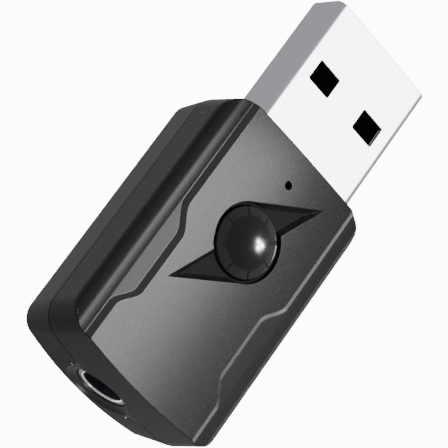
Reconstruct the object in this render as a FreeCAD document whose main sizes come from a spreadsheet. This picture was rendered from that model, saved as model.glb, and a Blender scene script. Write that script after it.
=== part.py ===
"""Bluetooth audio receiver: a USB dongle with a 3.5 mm jack and one push button.

Frame: +X towards the plug's tip, +Z towards the button, origin at the middle of the
bottom. All sizes are millimetres and live in the sheet named Sizes.
"""
import FreeCAD, Part
import math
import os
import Sketcher
from FreeCAD import Placement, Rotation, Vector

SIZES = {
    # outside of the case
    "case_plug_end": 6.45, "case_jack_end": -18.8, "case_half_width": 8.85,
    "case_top": 9.05, "split_height": 4.65,
    "plug_end_radius": 235.0, "jack_end_radius": 60.0, "corner_radius": 2.35,
    "top_draft": 0.06, "top_jack_draft": 0.4, "base_draft": 0.9, "base_plug_draft": 0.2,
    "base_jack_draft": 0.1, "base_jack_radius": 35.0, "base_corner": 1.7,
    "foot_height": 0.15, "foot_inset": 0.15,
    # raised top, its finger notches and the soft shoulders beside it
    "ledge_height": 8.7, "ridge_half_width": 6.6, "notch_half_width": 5.3,
    "notch_start": -4.0, "notch_end": -14.7, "notch_run": 2.6,
    "shoulder_inner": 6.95, "shoulder_middle": 7.7, "shoulder_outer": 8.81,
    "shoulder_low": 7.68, "cove_radius": 2.75, "round_radius": 1.26,
    # walls
    "wall": 1.0, "ceiling": 8.25, "haunch": 7.4, "haunch_step": 0.95, "floor": 0.8,
    "inside_corner": 1.2, "lip_height": 0.6, "lip_width": 0.42, "lip_gap": 0.06,
    "catch_length": 3.0, "catch_depth": 0.16, "catch_height": 0.2, "catch_rise": 0.3,
    "catch_front": 0.5, "catch_rear": -11.0, "catch_gap": 0.05,
    # button and the blade-shaped recess around it
    "button_place": -2.75, "recess_radius": 3.35, "blade_tip_x": 7.05, "blade_tip_y": 4.1,
    "blade_join_x": 2.55, "recess_depth": 0.45, "bezel_flange": 0.6, "bezel_gap": 0.04,
    "bezel_bore": 3.1, "bezel_end": 4.6,
    "cap_radius": 3.0, "cap_rim": 9.0, "cap_crown": 9.7, "cap_dome_radius": 2.45,
    "cap_dome_foot": 9.12, "cap_flange_radius": 3.7, "cap_flange_top": 8.15,
    "cap_flange_low": 7.5, "cap_stem_radius": 0.8, "cap_stem_low": 7.45,
    # indicator hole
    "pinhole_place": 3.45, "pinhole_radius": 0.35, "pipe_radius": 0.32, "pipe_top": 8.45,
    "pipe_low": 7.05, "pipe_flange_radius": 0.75, "pipe_flange_low": 7.95,
    # USB plug
    "plug_tip": 18.8, "plug_rear": 4.75, "plug_width": 12.0, "plug_height": 4.5,
    "plug_middle": 6.6, "plug_wall": 0.3, "plug_round": 0.78, "plug_gap": 0.03,
    "window_front": 13.55, "window_length": 2.0, "window_width": 2.5, "window_place": 3.0,
    "shell_leg_end": 2.4, "shell_leg_low": 5.3, "shell_leg_high": 6.9,
    "tongue_tip": 18.25, "tongue_block": 6.9, "tongue_gap": 0.05,
    "contact_width": 1.0, "contact_thickness": 0.2, "contact_tail": 2.9,
    "power_contact_tip": 17.4, "data_contact_tip": 16.4,
    "data_contact_place": 1.0, "power_contact_place": 3.5,
    # circuit board
    "board_front": 4.6, "board_rear": -16.9, "board_half_width": 6.8, "board_low": 5.65,
    "board_top": 6.45, "board_round": 0.8, "board_gap": 0.05, "board_slot_end": 2.2,
    "board_slot_gap": 0.1,
    "post_size": 1.2, "post_front": 0.2, "post_rear": -16.6, "post_side": 5.4,
    # headphone jack
    "jack_height": 3.37, "jack_bore": 1.8, "jack_ring_radius": 2.38, "jack_face": -18.25,
    "jack_mouth": 0.15, "jack_ring_rear": -17.35, "jack_body_rear": -3.9,
    "jack_bore_end": -4.4, "jack_half_width": 3.0, "jack_half_height": 2.25,
    "jack_recess_radius": 3.17, "jack_recess_height": 3.5, "jack_recess_crown": 5.9,
    "jack_recess_floor": 2.45, "jack_recess_floor_crown": 5.75, "jack_recess_depth": 0.45,
    "jack_tab_foot": 3.3, "jack_tab_middle": 3.5, "jack_tab_root": 4.4, "jack_tab_bend": 4.2,
    "jack_tab_gap": 0.03,
    "spring_thickness": 0.2, "spring_width": 1.2, "spring_slot": 0.1, "spring_length": 2.4,
    "sleeve_spring": -16.6, "ring_spring": -12.4, "tip_spring": -8.2,
    "terminal_width": 0.5, "terminal_top": 6.95, "terminal_gap": 0.1,
    "cradle_front": -8.0, "cradle_rear": -15.5, "cradle_length": 2.0, "cradle_width": 0.7,
    "cradle_gap": 0.05,
    # push switch
    "switch_length": 4.0, "switch_width": 3.4, "switch_base_top": 7.05,
    "switch_well_radius": 1.5, "switch_well_low": 6.55, "switch_frame_top": 7.15,
    "plunger_radius": 0.9, "plunger_foot_radius": 1.3, "plunger_foot_low": 6.87,
    "plunger_foot_top": 7.03, "plunger_bore": 0.98, "snap_radius": 1.4, "snap_sheet": 0.08,
    "snap_knee_radius": 0.87, "snap_knee_height": 6.77,
    # rows of small chips: the first one's middle, the step to the next
    "row_pitch": 1.1, "bulk_pitch": 4.8, "resistor_pitch": 1.2,
}
# Each chip's middle along x and y, then its length, width and height.
CHIPS = {
    "radio": (-10.6, 3.2, 5.0, 5.0, 0.85), "crystal": (-12.4, -4.4, 3.2, 2.5, 0.7),
    "memory": (-8.4, -4.6, 3.0, 2.6, 0.75), "antenna": (-14.4, 4.4, 1.6, 3.2, 1.1),
    "regulator": (2.2, 2.6, 1.6, 2.9, 1.1), "inductor": (0.4, -2.4, 3.0, 3.0, 1.6),
    "indicator": (SIZES["pinhole_place"], 0.0, 1.0, 0.5, 0.5), "audio": (-8.0, -5.0, 3.5, 2.0, 1.6),
    "capacitor": (-14.1, -2.6, 1.0, 0.5, 0.5), "bulk": (1.9, -2.4, 0.8, 1.6, 0.8),
    "resistor": (-5.4, -5.4, 0.5, 1.0, 0.35), "pull_up": (-5.4, 5.4, 0.5, 1.0, 0.35),
}
for chip_name, numbers in CHIPS.items():
    for word, number in zip(("x", "y", "length", "width", "height"), numbers):
        SIZES[f"{chip_name}_{word}"] = number

doc = FreeCAD.newDocument("audio_receiver")
sheet = doc.addObject("Spreadsheet::Sheet", "Sizes")
for row, (alias, number) in enumerate(SIZES.items(), start=1):
    sheet.set(f"A{row}", alias)
    sheet.set(f"B{row}", str(number))
    sheet.setAlias(f"B{row}", alias)
doc.recompute()


class Dim:
    """A length as its number now and as the sheet expression that keeps it bound."""

    def __init__(self, value, text):
        self.value = value
        self.text = text

    def join(self, other, sign, value):
        return Dim(value, f"({self.text} {sign} {dim(other).text})")

    def __add__(self, other):
        return self.join(other, "+", self.value + dim(other).value)

    def __sub__(self, other):
        return self.join(other, "-", self.value - dim(other).value)

    def __mul__(self, other):
        return self.join(other, "*", self.value * dim(other).value)

    def __truediv__(self, other):
        return self.join(other, "/", self.value / dim(other).value)

    def __neg__(self):
        return dim(0.0) - self


def dim(number):
    return number if isinstance(number, Dim) else Dim(float(number), f"{float(number)}")


class Sheet:
    """Gives each alias as a Dim, so that S.wall reads the sheet's cell named wall."""

    def __getattr__(self, alias):
        return Dim(SIZES[alias], f"Sizes.{alias}")


S = Sheet()
ORIGIN = (-1, 1)
X_AXIS = -1
Y_AXIS = -2
parts = []


def bind(thing, **dims):
    for name, length in dims.items():
        thing.setExpression(name, dim(length).text)


def place(thing, x=0, y=0, z=0, turn=None):
    if turn:
        thing.Placement = Placement(Vector(), turn)
    for letter, length in zip("xyz", (x, y, z)):
        thing.setExpression(f"Placement.Base.{letter}", dim(length).text)
    return thing


def finish(thing, label):
    """Marks a document object as one finished piece of the receiver."""
    thing.Label = label
    parts.append(thing)
    return thing


# ---- Part primitives and booleans -------------------------------------------------
def box(name, x, y, z):
    """A box given by its (low, high) pairs along each axis."""
    block = doc.addObject("Part::Box", name)
    (x0, x1), (y0, y1), (z0, z1) = x, y, z
    bind(block, Length=dim(x1) - x0, Width=dim(y1) - y0, Height=dim(z1) - z0)
    return place(block, x0, y0, z0)


TURNS = {"x": Rotation(Vector(0, 1, 0), 90), "z": Rotation()}


def cylinder(name, axis, radius, start, end, at):
    """A cylinder along x or z from start to end; at gives its other two coordinates."""
    rod = doc.addObject("Part::Cylinder", name)
    bind(rod, Radius=radius, Height=dim(end) - start)
    spot = (start, *at) if axis == "x" else (*at, start)
    return place(rod, *spot, turn=TURNS[axis])


def cone(name, radius_low, radius_high, start, end, at):
    """A cone along x from start to end; at is the axis's (y, z)."""
    taper = doc.addObject("Part::Cone", name)
    bind(taper, Radius1=radius_low, Radius2=radius_high, Height=dim(end) - start)
    return place(taper, start, *at, turn=TURNS["x"])


def fuse(name, shapes):
    union = doc.addObject("Part::MultiFuse", name)
    union.Shapes = shapes
    return union


def group(name, shapes):
    """Separate solids kept together as one piece, as with small chips of one kind."""
    bundle = doc.addObject("Part::Compound", name)
    bundle.Links = shapes
    return bundle


def cut(name, base, tools):
    difference = doc.addObject("Part::Cut", name)
    difference.Base = base
    difference.Tool = tools[0] if len(tools) == 1 else fuse(f"{name}_tools", tools)
    return difference


# ---- sketches and PartDesign features ---------------------------------------------
def new_body(name):
    return doc.addObject("PartDesign::Body", name)


def sketch(body, name, role, offset=0):
    """A sketch on one of the body's own origin planes, moved along its normal."""
    drawing = body.newObject("Sketcher::SketchObject", name)
    plane = [item for item in body.Origin.OriginFeatures if item.Role == role][0]
    drawing.AttachmentSupport = [(plane, "")]
    drawing.MapMode = "FlatFace"
    drawing.setExpression("AttachmentOffset.Base.z", dim(offset).text)
    return drawing


def fix(drawing, kind, *spec, to=None):
    """Adds one constraint, bound to the sheet when it carries a length."""
    if to is None:
        drawing.addConstraint(Sketcher.Constraint(kind, *spec))
        return
    index = drawing.addConstraint(Sketcher.Constraint(kind, *spec, dim(to).value))
    drawing.setExpression(f"Constraints[{index}]", dim(to).text)


def pin_point(drawing, edge, end, x, y):
    fix(drawing, "DistanceX", *ORIGIN, edge, end, to=x)
    fix(drawing, "DistanceY", *ORIGIN, edge, end, to=y)


def line(drawing, start, end):
    ends = [Vector(dim(x).value, dim(y).value, 0) for x, y in (start, end)]
    return drawing.addGeometry(Part.LineSegment(*ends), False)


def arc(drawing, centre, radius, start, end):
    """A counter-clockwise arc; the angles are in radians."""
    circle = Part.Circle(Vector(*centre, 0), Vector(0, 0, 1), radius)
    return drawing.addGeometry(Part.ArcOfCircle(circle, start, end), False)


def polygon(drawing, points):
    """A closed outline of straight edges through points bound to the sheet."""
    pairs = list(zip(points, points[1:] + points[:1]))
    edges = [line(drawing, start, end) for start, end in pairs]
    for edge, after in zip(edges, edges[1:] + edges[:1]):
        fix(drawing, "Coincident", edge, 2, after, 1)
    for edge, point in zip(edges, points):
        pin_point(drawing, edge, 1, *point)
    return edges


def circle(drawing, x, y, radius):
    centre = Vector(dim(x).value, dim(y).value, 0)
    edge = drawing.addGeometry(Part.Circle(centre, Vector(0, 0, 1), dim(radius).value))
    pin_point(drawing, edge, 3, x, y)
    fix(drawing, "Radius", edge, to=radius)


def rounded(drawing, x, y, radius):
    """A rectangle given by its (low, high) pairs, with all four corners rounded."""
    (x0, x1), (y0, y1) = x, y
    left, right, low, high = (dim(item).value for item in (x0, x1, y0, y1))
    turn = dim(radius).value
    quarter = math.pi / 2
    corners = [(right - turn, high - turn), (left + turn, high - turn),
               (left + turn, low + turn), (right - turn, low + turn)]
    runs = [((right - turn, high), (left + turn, high)),
            ((left, high - turn), (left, low + turn)),
            ((left + turn, low), (right - turn, low)),
            ((right, low + turn), (right, high - turn))]
    arcs = [arc(drawing, spot, turn, step * quarter, (step + 1) * quarter)
            for step, spot in enumerate(corners)]
    lines = [line(drawing, *run) for run in runs]
    for step in range(4):
        fix(drawing, "Tangent", arcs[step], 2, lines[step], 1)
        fix(drawing, "Tangent", lines[step], 2, arcs[(step + 1) % 4], 1)
        fix(drawing, "Horizontal" if step % 2 == 0 else "Vertical", lines[step])
    for other in arcs[1:]:
        fix(drawing, "Equal", arcs[0], other)
    fix(drawing, "Radius", arcs[0], to=radius)
    fix(drawing, "DistanceY", *ORIGIN, lines[0], 1, to=y1)
    fix(drawing, "DistanceX", *ORIGIN, lines[1], 1, to=x0)
    fix(drawing, "DistanceY", *ORIGIN, lines[2], 1, to=y0)
    fix(drawing, "DistanceX", *ORIGIN, lines[3], 1, to=x1)


def case_ring(drawing, half_width, plug_end, plug_radius, plug_corner,
              jack_end, jack_radius, jack_corner):
    """The case's plan: straight sides, gently bowed ends and four rounded corners."""
    width = dim(half_width).value
    ends = {}
    for name, reach, bow, turn, side in (
            ("jack", jack_end, jack_radius, jack_corner, -1),
            ("plug", plug_end, plug_radius, plug_corner, 1)):
        bow_value, turn_value = dim(bow).value, dim(turn).value
        centre = dim(reach) - dim(bow) * side
        lean = math.asin((width - turn_value) / (bow_value - turn_value))
        corner_x = centre.value + side * (bow_value - turn_value) * math.cos(lean)
        ends[name] = (centre, bow, turn, lean, corner_x, width - turn_value)
    centre, bow, turn, lean, corner_x, corner_y = ends["jack"]
    jack_lean = math.pi - lean
    jack_x = corner_x
    jack_high = arc(drawing, (corner_x, corner_y), dim(turn).value, math.pi / 2, jack_lean)
    jack_bow = arc(drawing, (centre.value, 0), dim(bow).value, jack_lean, math.pi + lean)
    jack_low = arc(drawing, (corner_x, -corner_y), dim(turn).value,
                   math.pi + lean, 3 * math.pi / 2)
    centre, bow, turn, lean, corner_x, corner_y = ends["plug"]
    plug_low = arc(drawing, (corner_x, -corner_y), dim(turn).value, -math.pi / 2, -lean)
    plug_bow = arc(drawing, (centre.value, 0), dim(bow).value, -lean, lean)
    plug_high = arc(drawing, (corner_x, corner_y), dim(turn).value, lean, math.pi / 2)
    far_side = line(drawing, (corner_x, width), (jack_x, width))
    near_side = line(drawing, (jack_x, -width), (corner_x, -width))
    order = [far_side, jack_high, jack_bow, jack_low, near_side, plug_low, plug_bow, plug_high]
    for edge, after in zip(order, order[1:] + order[:1]):
        fix(drawing, "Tangent", edge, 2, after, 1)
    for side, level in ((far_side, half_width), (near_side, -dim(half_width))):
        fix(drawing, "Horizontal", side)
        fix(drawing, "DistanceY", *ORIGIN, side, 1, to=level)
    for bow_edge, corners, name in ((jack_bow, (jack_high, jack_low), "jack"),
                                    (plug_bow, (plug_low, plug_high), "plug")):
        centre, bow, turn = ends[name][:3]
        fix(drawing, "PointOnObject", bow_edge, 3, X_AXIS)
        fix(drawing, "DistanceX", *ORIGIN, bow_edge, 3, to=centre)
        fix(drawing, "Radius", bow_edge, to=bow)
        fix(drawing, "Equal", *corners)
        fix(drawing, "Radius", corners[0], to=turn)


def split_ring(drawing):
    case_ring(drawing, S.case_half_width, S.case_plug_end, S.plug_end_radius,
              S.corner_radius, S.case_jack_end, S.jack_end_radius, S.corner_radius)


def base_ring(drawing, inset):
    case_ring(drawing, S.case_half_width - S.base_draft - inset,
              S.case_plug_end - S.base_plug_draft - inset, S.plug_end_radius,
              S.base_corner - inset, S.case_jack_end + S.base_jack_draft + inset,
              S.base_jack_radius, S.base_corner - inset)


def blade_ring(drawing, grow):
    """The blade outline: a circle with a straight-sided wing on each side.

    Each wing's outer edge is tangent to the circle; grow widens circle and tips alike.
    """
    radius = S.recess_radius + grow
    tip_x = S.blade_tip_x + dim(grow) * 1.6
    tip_y = S.blade_tip_y + dim(grow) * 0.6
    join_x = S.blade_join_x
    reach = math.hypot(tip_x.value, tip_y.value)
    tip_angle = math.atan2(tip_y.value, -tip_x.value)
    touch_angle = tip_angle + math.acos(radius.value / reach)
    join_angle = math.pi - math.acos(join_x.value / radius.value)
    middle = S.button_place

    def spot(angle, turn):
        return (middle.value + turn * radius.value * math.cos(angle),
                turn * radius.value * math.sin(angle))

    wings = []
    for turn in (1, -1):
        tip = (middle.value - turn * tip_x.value, turn * tip_y.value)
        inner = line(drawing, spot(join_angle, turn), tip)
        outer = line(drawing, tip, spot(touch_angle, turn))
        wings.append((inner, outer))
        fix(drawing, "Coincident", inner, 2, outer, 1)
        pin_point(drawing, inner, 2, middle - tip_x * turn, tip_y * turn)
    shift = math.pi
    arcs = [arc(drawing, (middle.value, 0), radius.value, touch_angle, join_angle + shift),
            arc(drawing, (middle.value, 0), radius.value, touch_angle - shift, join_angle)]
    for edge, wing, other in ((arcs[0], wings[0], wings[1]), (arcs[1], wings[1], wings[0])):
        fix(drawing, "Tangent", wing[1], 2, edge, 1)
        fix(drawing, "Coincident", edge, 2, other[0], 1)
        pin_point(drawing, edge, 3, middle, 0)
    fix(drawing, "Radius", arcs[0], to=radius)
    for turn, wing in ((1, wings[0]), (-1, wings[1])):
        fix(drawing, "DistanceX", *ORIGIN, wing[0], 1, to=middle - join_x * turn)


def loft(body, name, kind, profile, section):
    skin = body.newObject(kind, name)
    skin.Profile = profile
    skin.Sections = [section]
    skin.Ruled = True
    return skin


def pad(body, name, profile, length, back=False):
    block = body.newObject("PartDesign::Pad", name)
    block.Profile = profile
    block.Reversed = back
    bind(block, Length=length)
    return block


def pocket(body, name, profile, length, back=False, both=False):
    """Cuts against the sketch's normal, or along it with back."""
    hollow = body.newObject("PartDesign::Pocket", name)
    hollow.Profile = profile
    hollow.Reversed = back
    hollow.Midplane = both
    bind(hollow, Length=length)
    return hollow


def revolve(body, name, points):
    """Turns a closed (radius, height) outline about the z axis through the origin."""
    drawing = sketch(body, f"{name}_outline", "XZ_Plane")
    polygon(drawing, points)
    solid = body.newObject("PartDesign::Revolution", name)
    solid.Profile = drawing
    solid.ReferenceAxis = (drawing, ["V_Axis"])
    solid.Angle = 360
    return solid


def mirrored(body, name, originals):
    plane = [item for item in body.Origin.OriginFeatures if item.Role == "XZ_Plane"][0]
    twin = body.newObject("PartDesign::Mirrored", name)
    twin.Originals = originals
    twin.MirrorPlane = (plane, [""])
    body.Tip = twin
    return twin


# ---- case -------------------------------------------------------------------------
def inside(drawing, shrink, gap=0):
    """The case's inside plan, shrunk all round by a further shrink and widened by gap."""
    inset = S.wall + shrink - gap
    rounded(drawing, (S.case_jack_end + inset + 0.25, S.case_plug_end - inset - 0.1),
            (inset - S.case_half_width, S.case_half_width - inset), S.inside_corner)


def post_spots():
    for x in (S.post_rear, S.post_front):
        for y in (S.post_side, -S.post_side - S.post_size):
            yield (x, x + S.post_size), (y, y + S.post_size)


def posts(body, name, level, length, back):
    """Four posts that hold the circuit board between the two halves."""
    drawing = sketch(body, f"{name}_plan", "XY_Plane", level)
    for (x0, x1), (y0, y1) in post_spots():
        polygon(drawing, [(x0, y0), (x1, y0), (x1, y1), (x0, y1)])
    return pad(body, name, drawing, length, back)


def catches(body, name, level, reach, spare):
    """Outlines of the four catches along the lip, at the given height and reach."""
    drawing = sketch(body, f"{name}_plan", "XY_Plane", level)
    lip_face = S.case_half_width - S.wall + S.lip_width - S.lip_gap
    for centre in (S.catch_rear, S.catch_front):
        x0 = S.catch_length / -2 - spare + centre
        x1 = S.catch_length / 2 + spare + centre
        for side in (1, -1):
            y0, y1 = (lip_face - 0.1) * side, (lip_face + reach) * side
            polygon(drawing, [(x0, y0), (x1, y0), (x1, y1), (x0, y1)])
    return drawing


def recess_outline(drawing, radius, middle, crown):
    """A half circle below and a flatter arch above, meeting at the half circle's middle."""
    half, level, rise = dim(radius).value, dim(middle).value, dim(crown).value - dim(middle).value
    arch = (half ** 2 + rise ** 2) / (2 * rise)
    arch_centre = level + rise - arch
    lean = math.atan2(level - arch_centre, half)
    low = arc(drawing, (0, level), half, math.pi, 2 * math.pi)
    high = arc(drawing, (0, arch_centre), arch, lean, math.pi - lean)
    fix(drawing, "Coincident", low, 2, high, 1)
    fix(drawing, "Coincident", high, 2, low, 1)
    pin_point(drawing, low, 3, 0, middle)
    pin_point(drawing, low, 2, radius, middle)
    fix(drawing, "PointOnObject", high, 3, Y_AXIS)
    arch_text = f"(({dim(radius).text})^2 + ({(dim(crown) - middle).text})^2)"
    twice = f"(2 * {(dim(crown) - middle).text})"
    fix(drawing, "Radius", high, to=Dim(arch, f"{arch_text} / {twice}"))


def jack_opening(name):
    """The dished recess and the hole behind it that the jack's chrome ring looks through."""
    body = new_body(f"{name}_dish")
    face = S.case_jack_end - 0.05
    rim = sketch(body, f"{name}_rim", "YZ_Plane", face)
    recess_outline(rim, S.jack_recess_radius, S.jack_recess_height, S.jack_recess_crown)
    end = sketch(body, f"{name}_floor", "YZ_Plane", S.case_jack_end + S.jack_recess_depth)
    recess_outline(end, S.jack_recess_floor, S.jack_height, S.jack_recess_floor_crown)
    loft(body, f"{name}_taper", "PartDesign::AdditiveLoft", rim, end)
    hole = cylinder(f"{name}_hole", "x", S.jack_recess_floor, S.case_jack_end,
                    S.jack_ring_rear, (0, S.jack_height))
    return [body, hole]


def jack_wedge(name, grow):
    """The notch in the base's end wall, on both sides of the jack, that the cover's tab fills."""
    body = new_body(name)
    drawing = sketch(body, f"{name}_section", "YZ_Plane", S.case_jack_end - 1)
    corners = [(S.jack_tab_root + grow, S.split_height + grow),
               (S.jack_tab_middle + grow, S.jack_tab_bend),
               (S.jack_tab_foot + grow, S.jack_height - grow)]
    polygon(drawing, corners + [(-y, z) for y, z in reversed(corners)])
    pad(body, f"{name}_block", drawing, 3)
    return body


def plug_section(drawing, grow):
    half_width = S.plug_width / 2 + grow
    half_height = S.plug_height / 2 + grow
    rounded(drawing, (-half_width, half_width),
            (S.plug_middle - half_height, S.plug_middle + half_height), S.plug_round + grow)


def plug_opening(body, name):
    drawing = sketch(body, f"{name}_section", "YZ_Plane", S.plug_rear - 0.05)
    plug_section(drawing, S.plug_gap)
    return pocket(body, name, drawing, 4, back=True)


def cover_shell():
    body = new_body("cover_body")
    low = sketch(body, "cover_split", "XY_Plane", S.split_height)
    split_ring(low)
    high = sketch(body, "cover_rim", "XY_Plane", S.case_top)
    case_ring(high, S.case_half_width - S.top_draft, S.case_plug_end, S.plug_end_radius,
              S.corner_radius, S.case_jack_end + S.top_jack_draft, S.jack_end_radius,
              S.corner_radius)
    loft(body, "cover_block", "PartDesign::AdditiveLoft", low, high)

    ridge = sketch(body, "ridge_plan", "XY_Plane", S.case_top)
    outside = S.case_half_width + 2
    polygon(ridge, [(S.case_plug_end + 2, S.ridge_half_width),
                    (S.notch_start, S.ridge_half_width),
                    (S.notch_start - S.notch_run, S.notch_half_width),
                    (S.notch_end + S.notch_run, S.notch_half_width),
                    (S.notch_end, S.ridge_half_width),
                    (S.case_jack_end - 2, S.ridge_half_width),
                    (S.case_jack_end - 2, outside), (S.case_plug_end + 2, outside)])
    ledge = pocket(body, "ledge", ridge, S.case_top - S.ledge_height)
    mirrored(body, "ledge_twin", [ledge])

    profile = sketch(body, "shoulder_profile", "YZ_Plane")
    shoulder(profile)
    side = pocket(body, "shoulder", profile, 80, both=True)
    mirrored(body, "shoulder_twin", [side])

    rabbet = sketch(body, "rabbet_plan", "XY_Plane", S.split_height)
    inside(rabbet, 0, S.lip_width)
    pocket(body, "rabbet", rabbet, S.lip_height + 0.1, back=True)
    room = sketch(body, "room_plan", "XY_Plane", S.split_height)
    inside(room, 0)
    pocket(body, "room", room, S.haunch - S.split_height, back=True)
    attic = sketch(body, "attic_plan", "XY_Plane", S.split_height)
    inside(attic, S.haunch_step)
    pocket(body, "attic", attic, S.ceiling - S.split_height, back=True)
    gap = S.catch_gap
    level = S.split_height + S.catch_rise - gap
    grooves = catches(body, "catch_groove", level, S.catch_depth + gap, gap * 2)
    pocket(body, "catch_grooves", grooves, S.catch_height + gap * 2, back=True)

    plug_opening(body, "plug_mouth")
    blade = sketch(body, "blade_plan", "XY_Plane", S.case_top)
    blade_ring(blade, 0)
    pocket(body, "blade_recess", blade, 1.0)
    seat = sketch(body, "seat_plan", "XY_Plane", S.case_top - S.recess_depth)
    blade_ring(seat, S.bezel_flange + S.bezel_gap)
    pocket(body, "bezel_seat", seat, 1.0)
    hole = sketch(body, "pinhole_plan", "XY_Plane", S.case_top)
    circle(hole, S.pinhole_place, 0, S.pinhole_radius)
    pocket(body, "pinhole", hole, 1.2)
    posts(body, "cover_posts", S.ceiling + 0.1, S.ceiling + 0.1 - S.board_top, True)
    return body


def shoulder(drawing):
    """The cut that leaves the shoulder: a hollow cove that turns into a rounded edge."""
    cove, edge = S.cove_radius.value, S.round_radius.value
    start = (S.shoulder_inner.value, S.ledge_height.value)
    middle_y = S.shoulder_middle.value
    end = (S.shoulder_outer.value, S.shoulder_low.value)
    first, last = math.radians(20), math.radians(4)
    middle = (middle_y, start[1] - cove * (math.cos(last) - math.cos(first)))
    cove_centre = (middle[0] + cove * math.sin(last), middle[1] + cove * math.cos(last))
    edge_centre = (middle[0] - edge * math.sin(last), middle[1] - edge * math.cos(last))
    down = math.atan2(end[1] - edge_centre[1], end[0] - edge_centre[0])
    cove_arc = arc(drawing, cove_centre, cove, 1.5 * math.pi - first, 1.5 * math.pi - last)
    edge_arc = arc(drawing, edge_centre, edge, down, math.pi / 2 - last)
    outer = S.case_half_width + 2
    top = S.case_top + 1
    corners = [(S.shoulder_outer, S.shoulder_low), (outer, S.shoulder_low), (outer, top),
               (S.shoulder_inner, top), (S.shoulder_inner, S.ledge_height)]
    runs = [line(drawing, *pair) for pair in zip(corners, corners[1:])]
    fix(drawing, "Tangent", cove_arc, 2, edge_arc, 2)
    fix(drawing, "Coincident", edge_arc, 1, runs[0], 1)
    for run, after in zip(runs, runs[1:]):
        fix(drawing, "Coincident", run, 2, after, 1)
    fix(drawing, "Coincident", runs[-1], 2, cove_arc, 1)
    for run, corner in zip(runs, corners):
        pin_point(drawing, run, 1, *corner)
    pin_point(drawing, runs[-1], 2, *corners[-1])
    fix(drawing, "Radius", cove_arc, to=S.cove_radius)
    fix(drawing, "Radius", edge_arc, to=S.round_radius)


def base_shell():
    body = new_body("base_body")
    foot = sketch(body, "foot_plan", "XY_Plane")
    base_ring(foot, S.foot_inset)
    low = sketch(body, "base_plan", "XY_Plane", S.foot_height)
    base_ring(low, 0)
    high = sketch(body, "base_split", "XY_Plane", S.split_height)
    split_ring(high)
    loft(body, "base_foot", "PartDesign::AdditiveLoft", foot, low)
    loft(body, "base_block", "PartDesign::AdditiveLoft", low, high)

    lip = sketch(body, "lip_plan", "XY_Plane", S.split_height - 0.3)
    inside(lip, 0, S.lip_width - S.lip_gap)
    pad(body, "lip", lip, S.lip_height + 0.3)
    top_plan = sketch(body, "well_top", "XY_Plane", S.split_height + S.lip_height)
    inside(top_plan, 0)
    floor_plan = sketch(body, "well_floor", "XY_Plane", S.floor)
    inside(floor_plan, S.base_draft - 0.25)
    loft(body, "well", "PartDesign::SubtractiveLoft", top_plan, floor_plan)
    teeth = catches(body, "catch", S.split_height + S.catch_rise, S.catch_depth, 0)
    pad(body, "catch_teeth", teeth, S.catch_height)
    posts(body, "base_posts", S.floor - 0.1, S.board_low - S.floor + 0.1, False)
    plug_opening(body, "plug_rest")
    cradle = sketch(body, "cradle_plan", "XY_Plane", S.floor - 0.1)
    near = S.jack_half_width + S.cradle_gap
    far = near + S.cradle_width
    for y0, y1 in ((near, far), (-far, -near)):
        for x0 in (S.cradle_rear, S.cradle_front):
            x1 = x0 + S.cradle_length
            polygon(cradle, [(x0, y0), (x1, y0), (x1, y1), (x0, y1)])
    pad(body, "jack_cradle", cradle, S.jack_height - S.floor + 0.1)
    return body


def case_halves():
    """Cover and base, parted at the split except where the cover's tab goes round the jack."""
    cover, base = cover_shell(), base_shell()
    tab = doc.addObject("Part::Common", "jack_tab")
    tab.Base = base
    tab.Tool = jack_wedge("tab_wedge", 0)
    side, half_height = S.jack_half_width + S.board_gap, S.jack_half_height + S.board_gap
    room = box("jack_room", (S.jack_ring_rear - S.board_gap, S.jack_body_rear), (-side, side),
               (S.jack_height - half_height, S.split_height + S.lip_height))
    cover_whole = fuse("cover_whole", [cover, tab])
    tools = [room] + jack_opening("cover_jack")
    finish(cut("cover_cut", cover_whole, tools), "upper_cover")
    tools = [room, jack_wedge("notch_wedge", S.jack_tab_gap)] + jack_opening("base_jack")
    finish(cut("base_cut", base, tools), "lower_case")


def button_bezel():
    """The dark blade-shaped insert that is the recess's floor and guides the button."""
    body = new_body("bezel_body")
    plan = sketch(body, "bezel_plan", "XY_Plane", S.ceiling)
    blade_ring(plan, S.bezel_flange)
    pad(body, "bezel_plate", plan, S.case_top - S.recess_depth - S.ceiling)
    bore = sketch(body, "bezel_bore_plan", "XY_Plane", S.case_top)
    circle(bore, S.button_place, 0, S.bezel_bore)
    pocket(body, "bezel_hole", bore, 3)
    trim = box("bezel_trim", (S.bezel_end, S.case_plug_end),
               (-S.case_half_width, S.case_half_width), (S.cap_flange_low, S.cap_crown))
    return finish(cut("bezel_cut", body, [trim]), "button_bezel")


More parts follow.
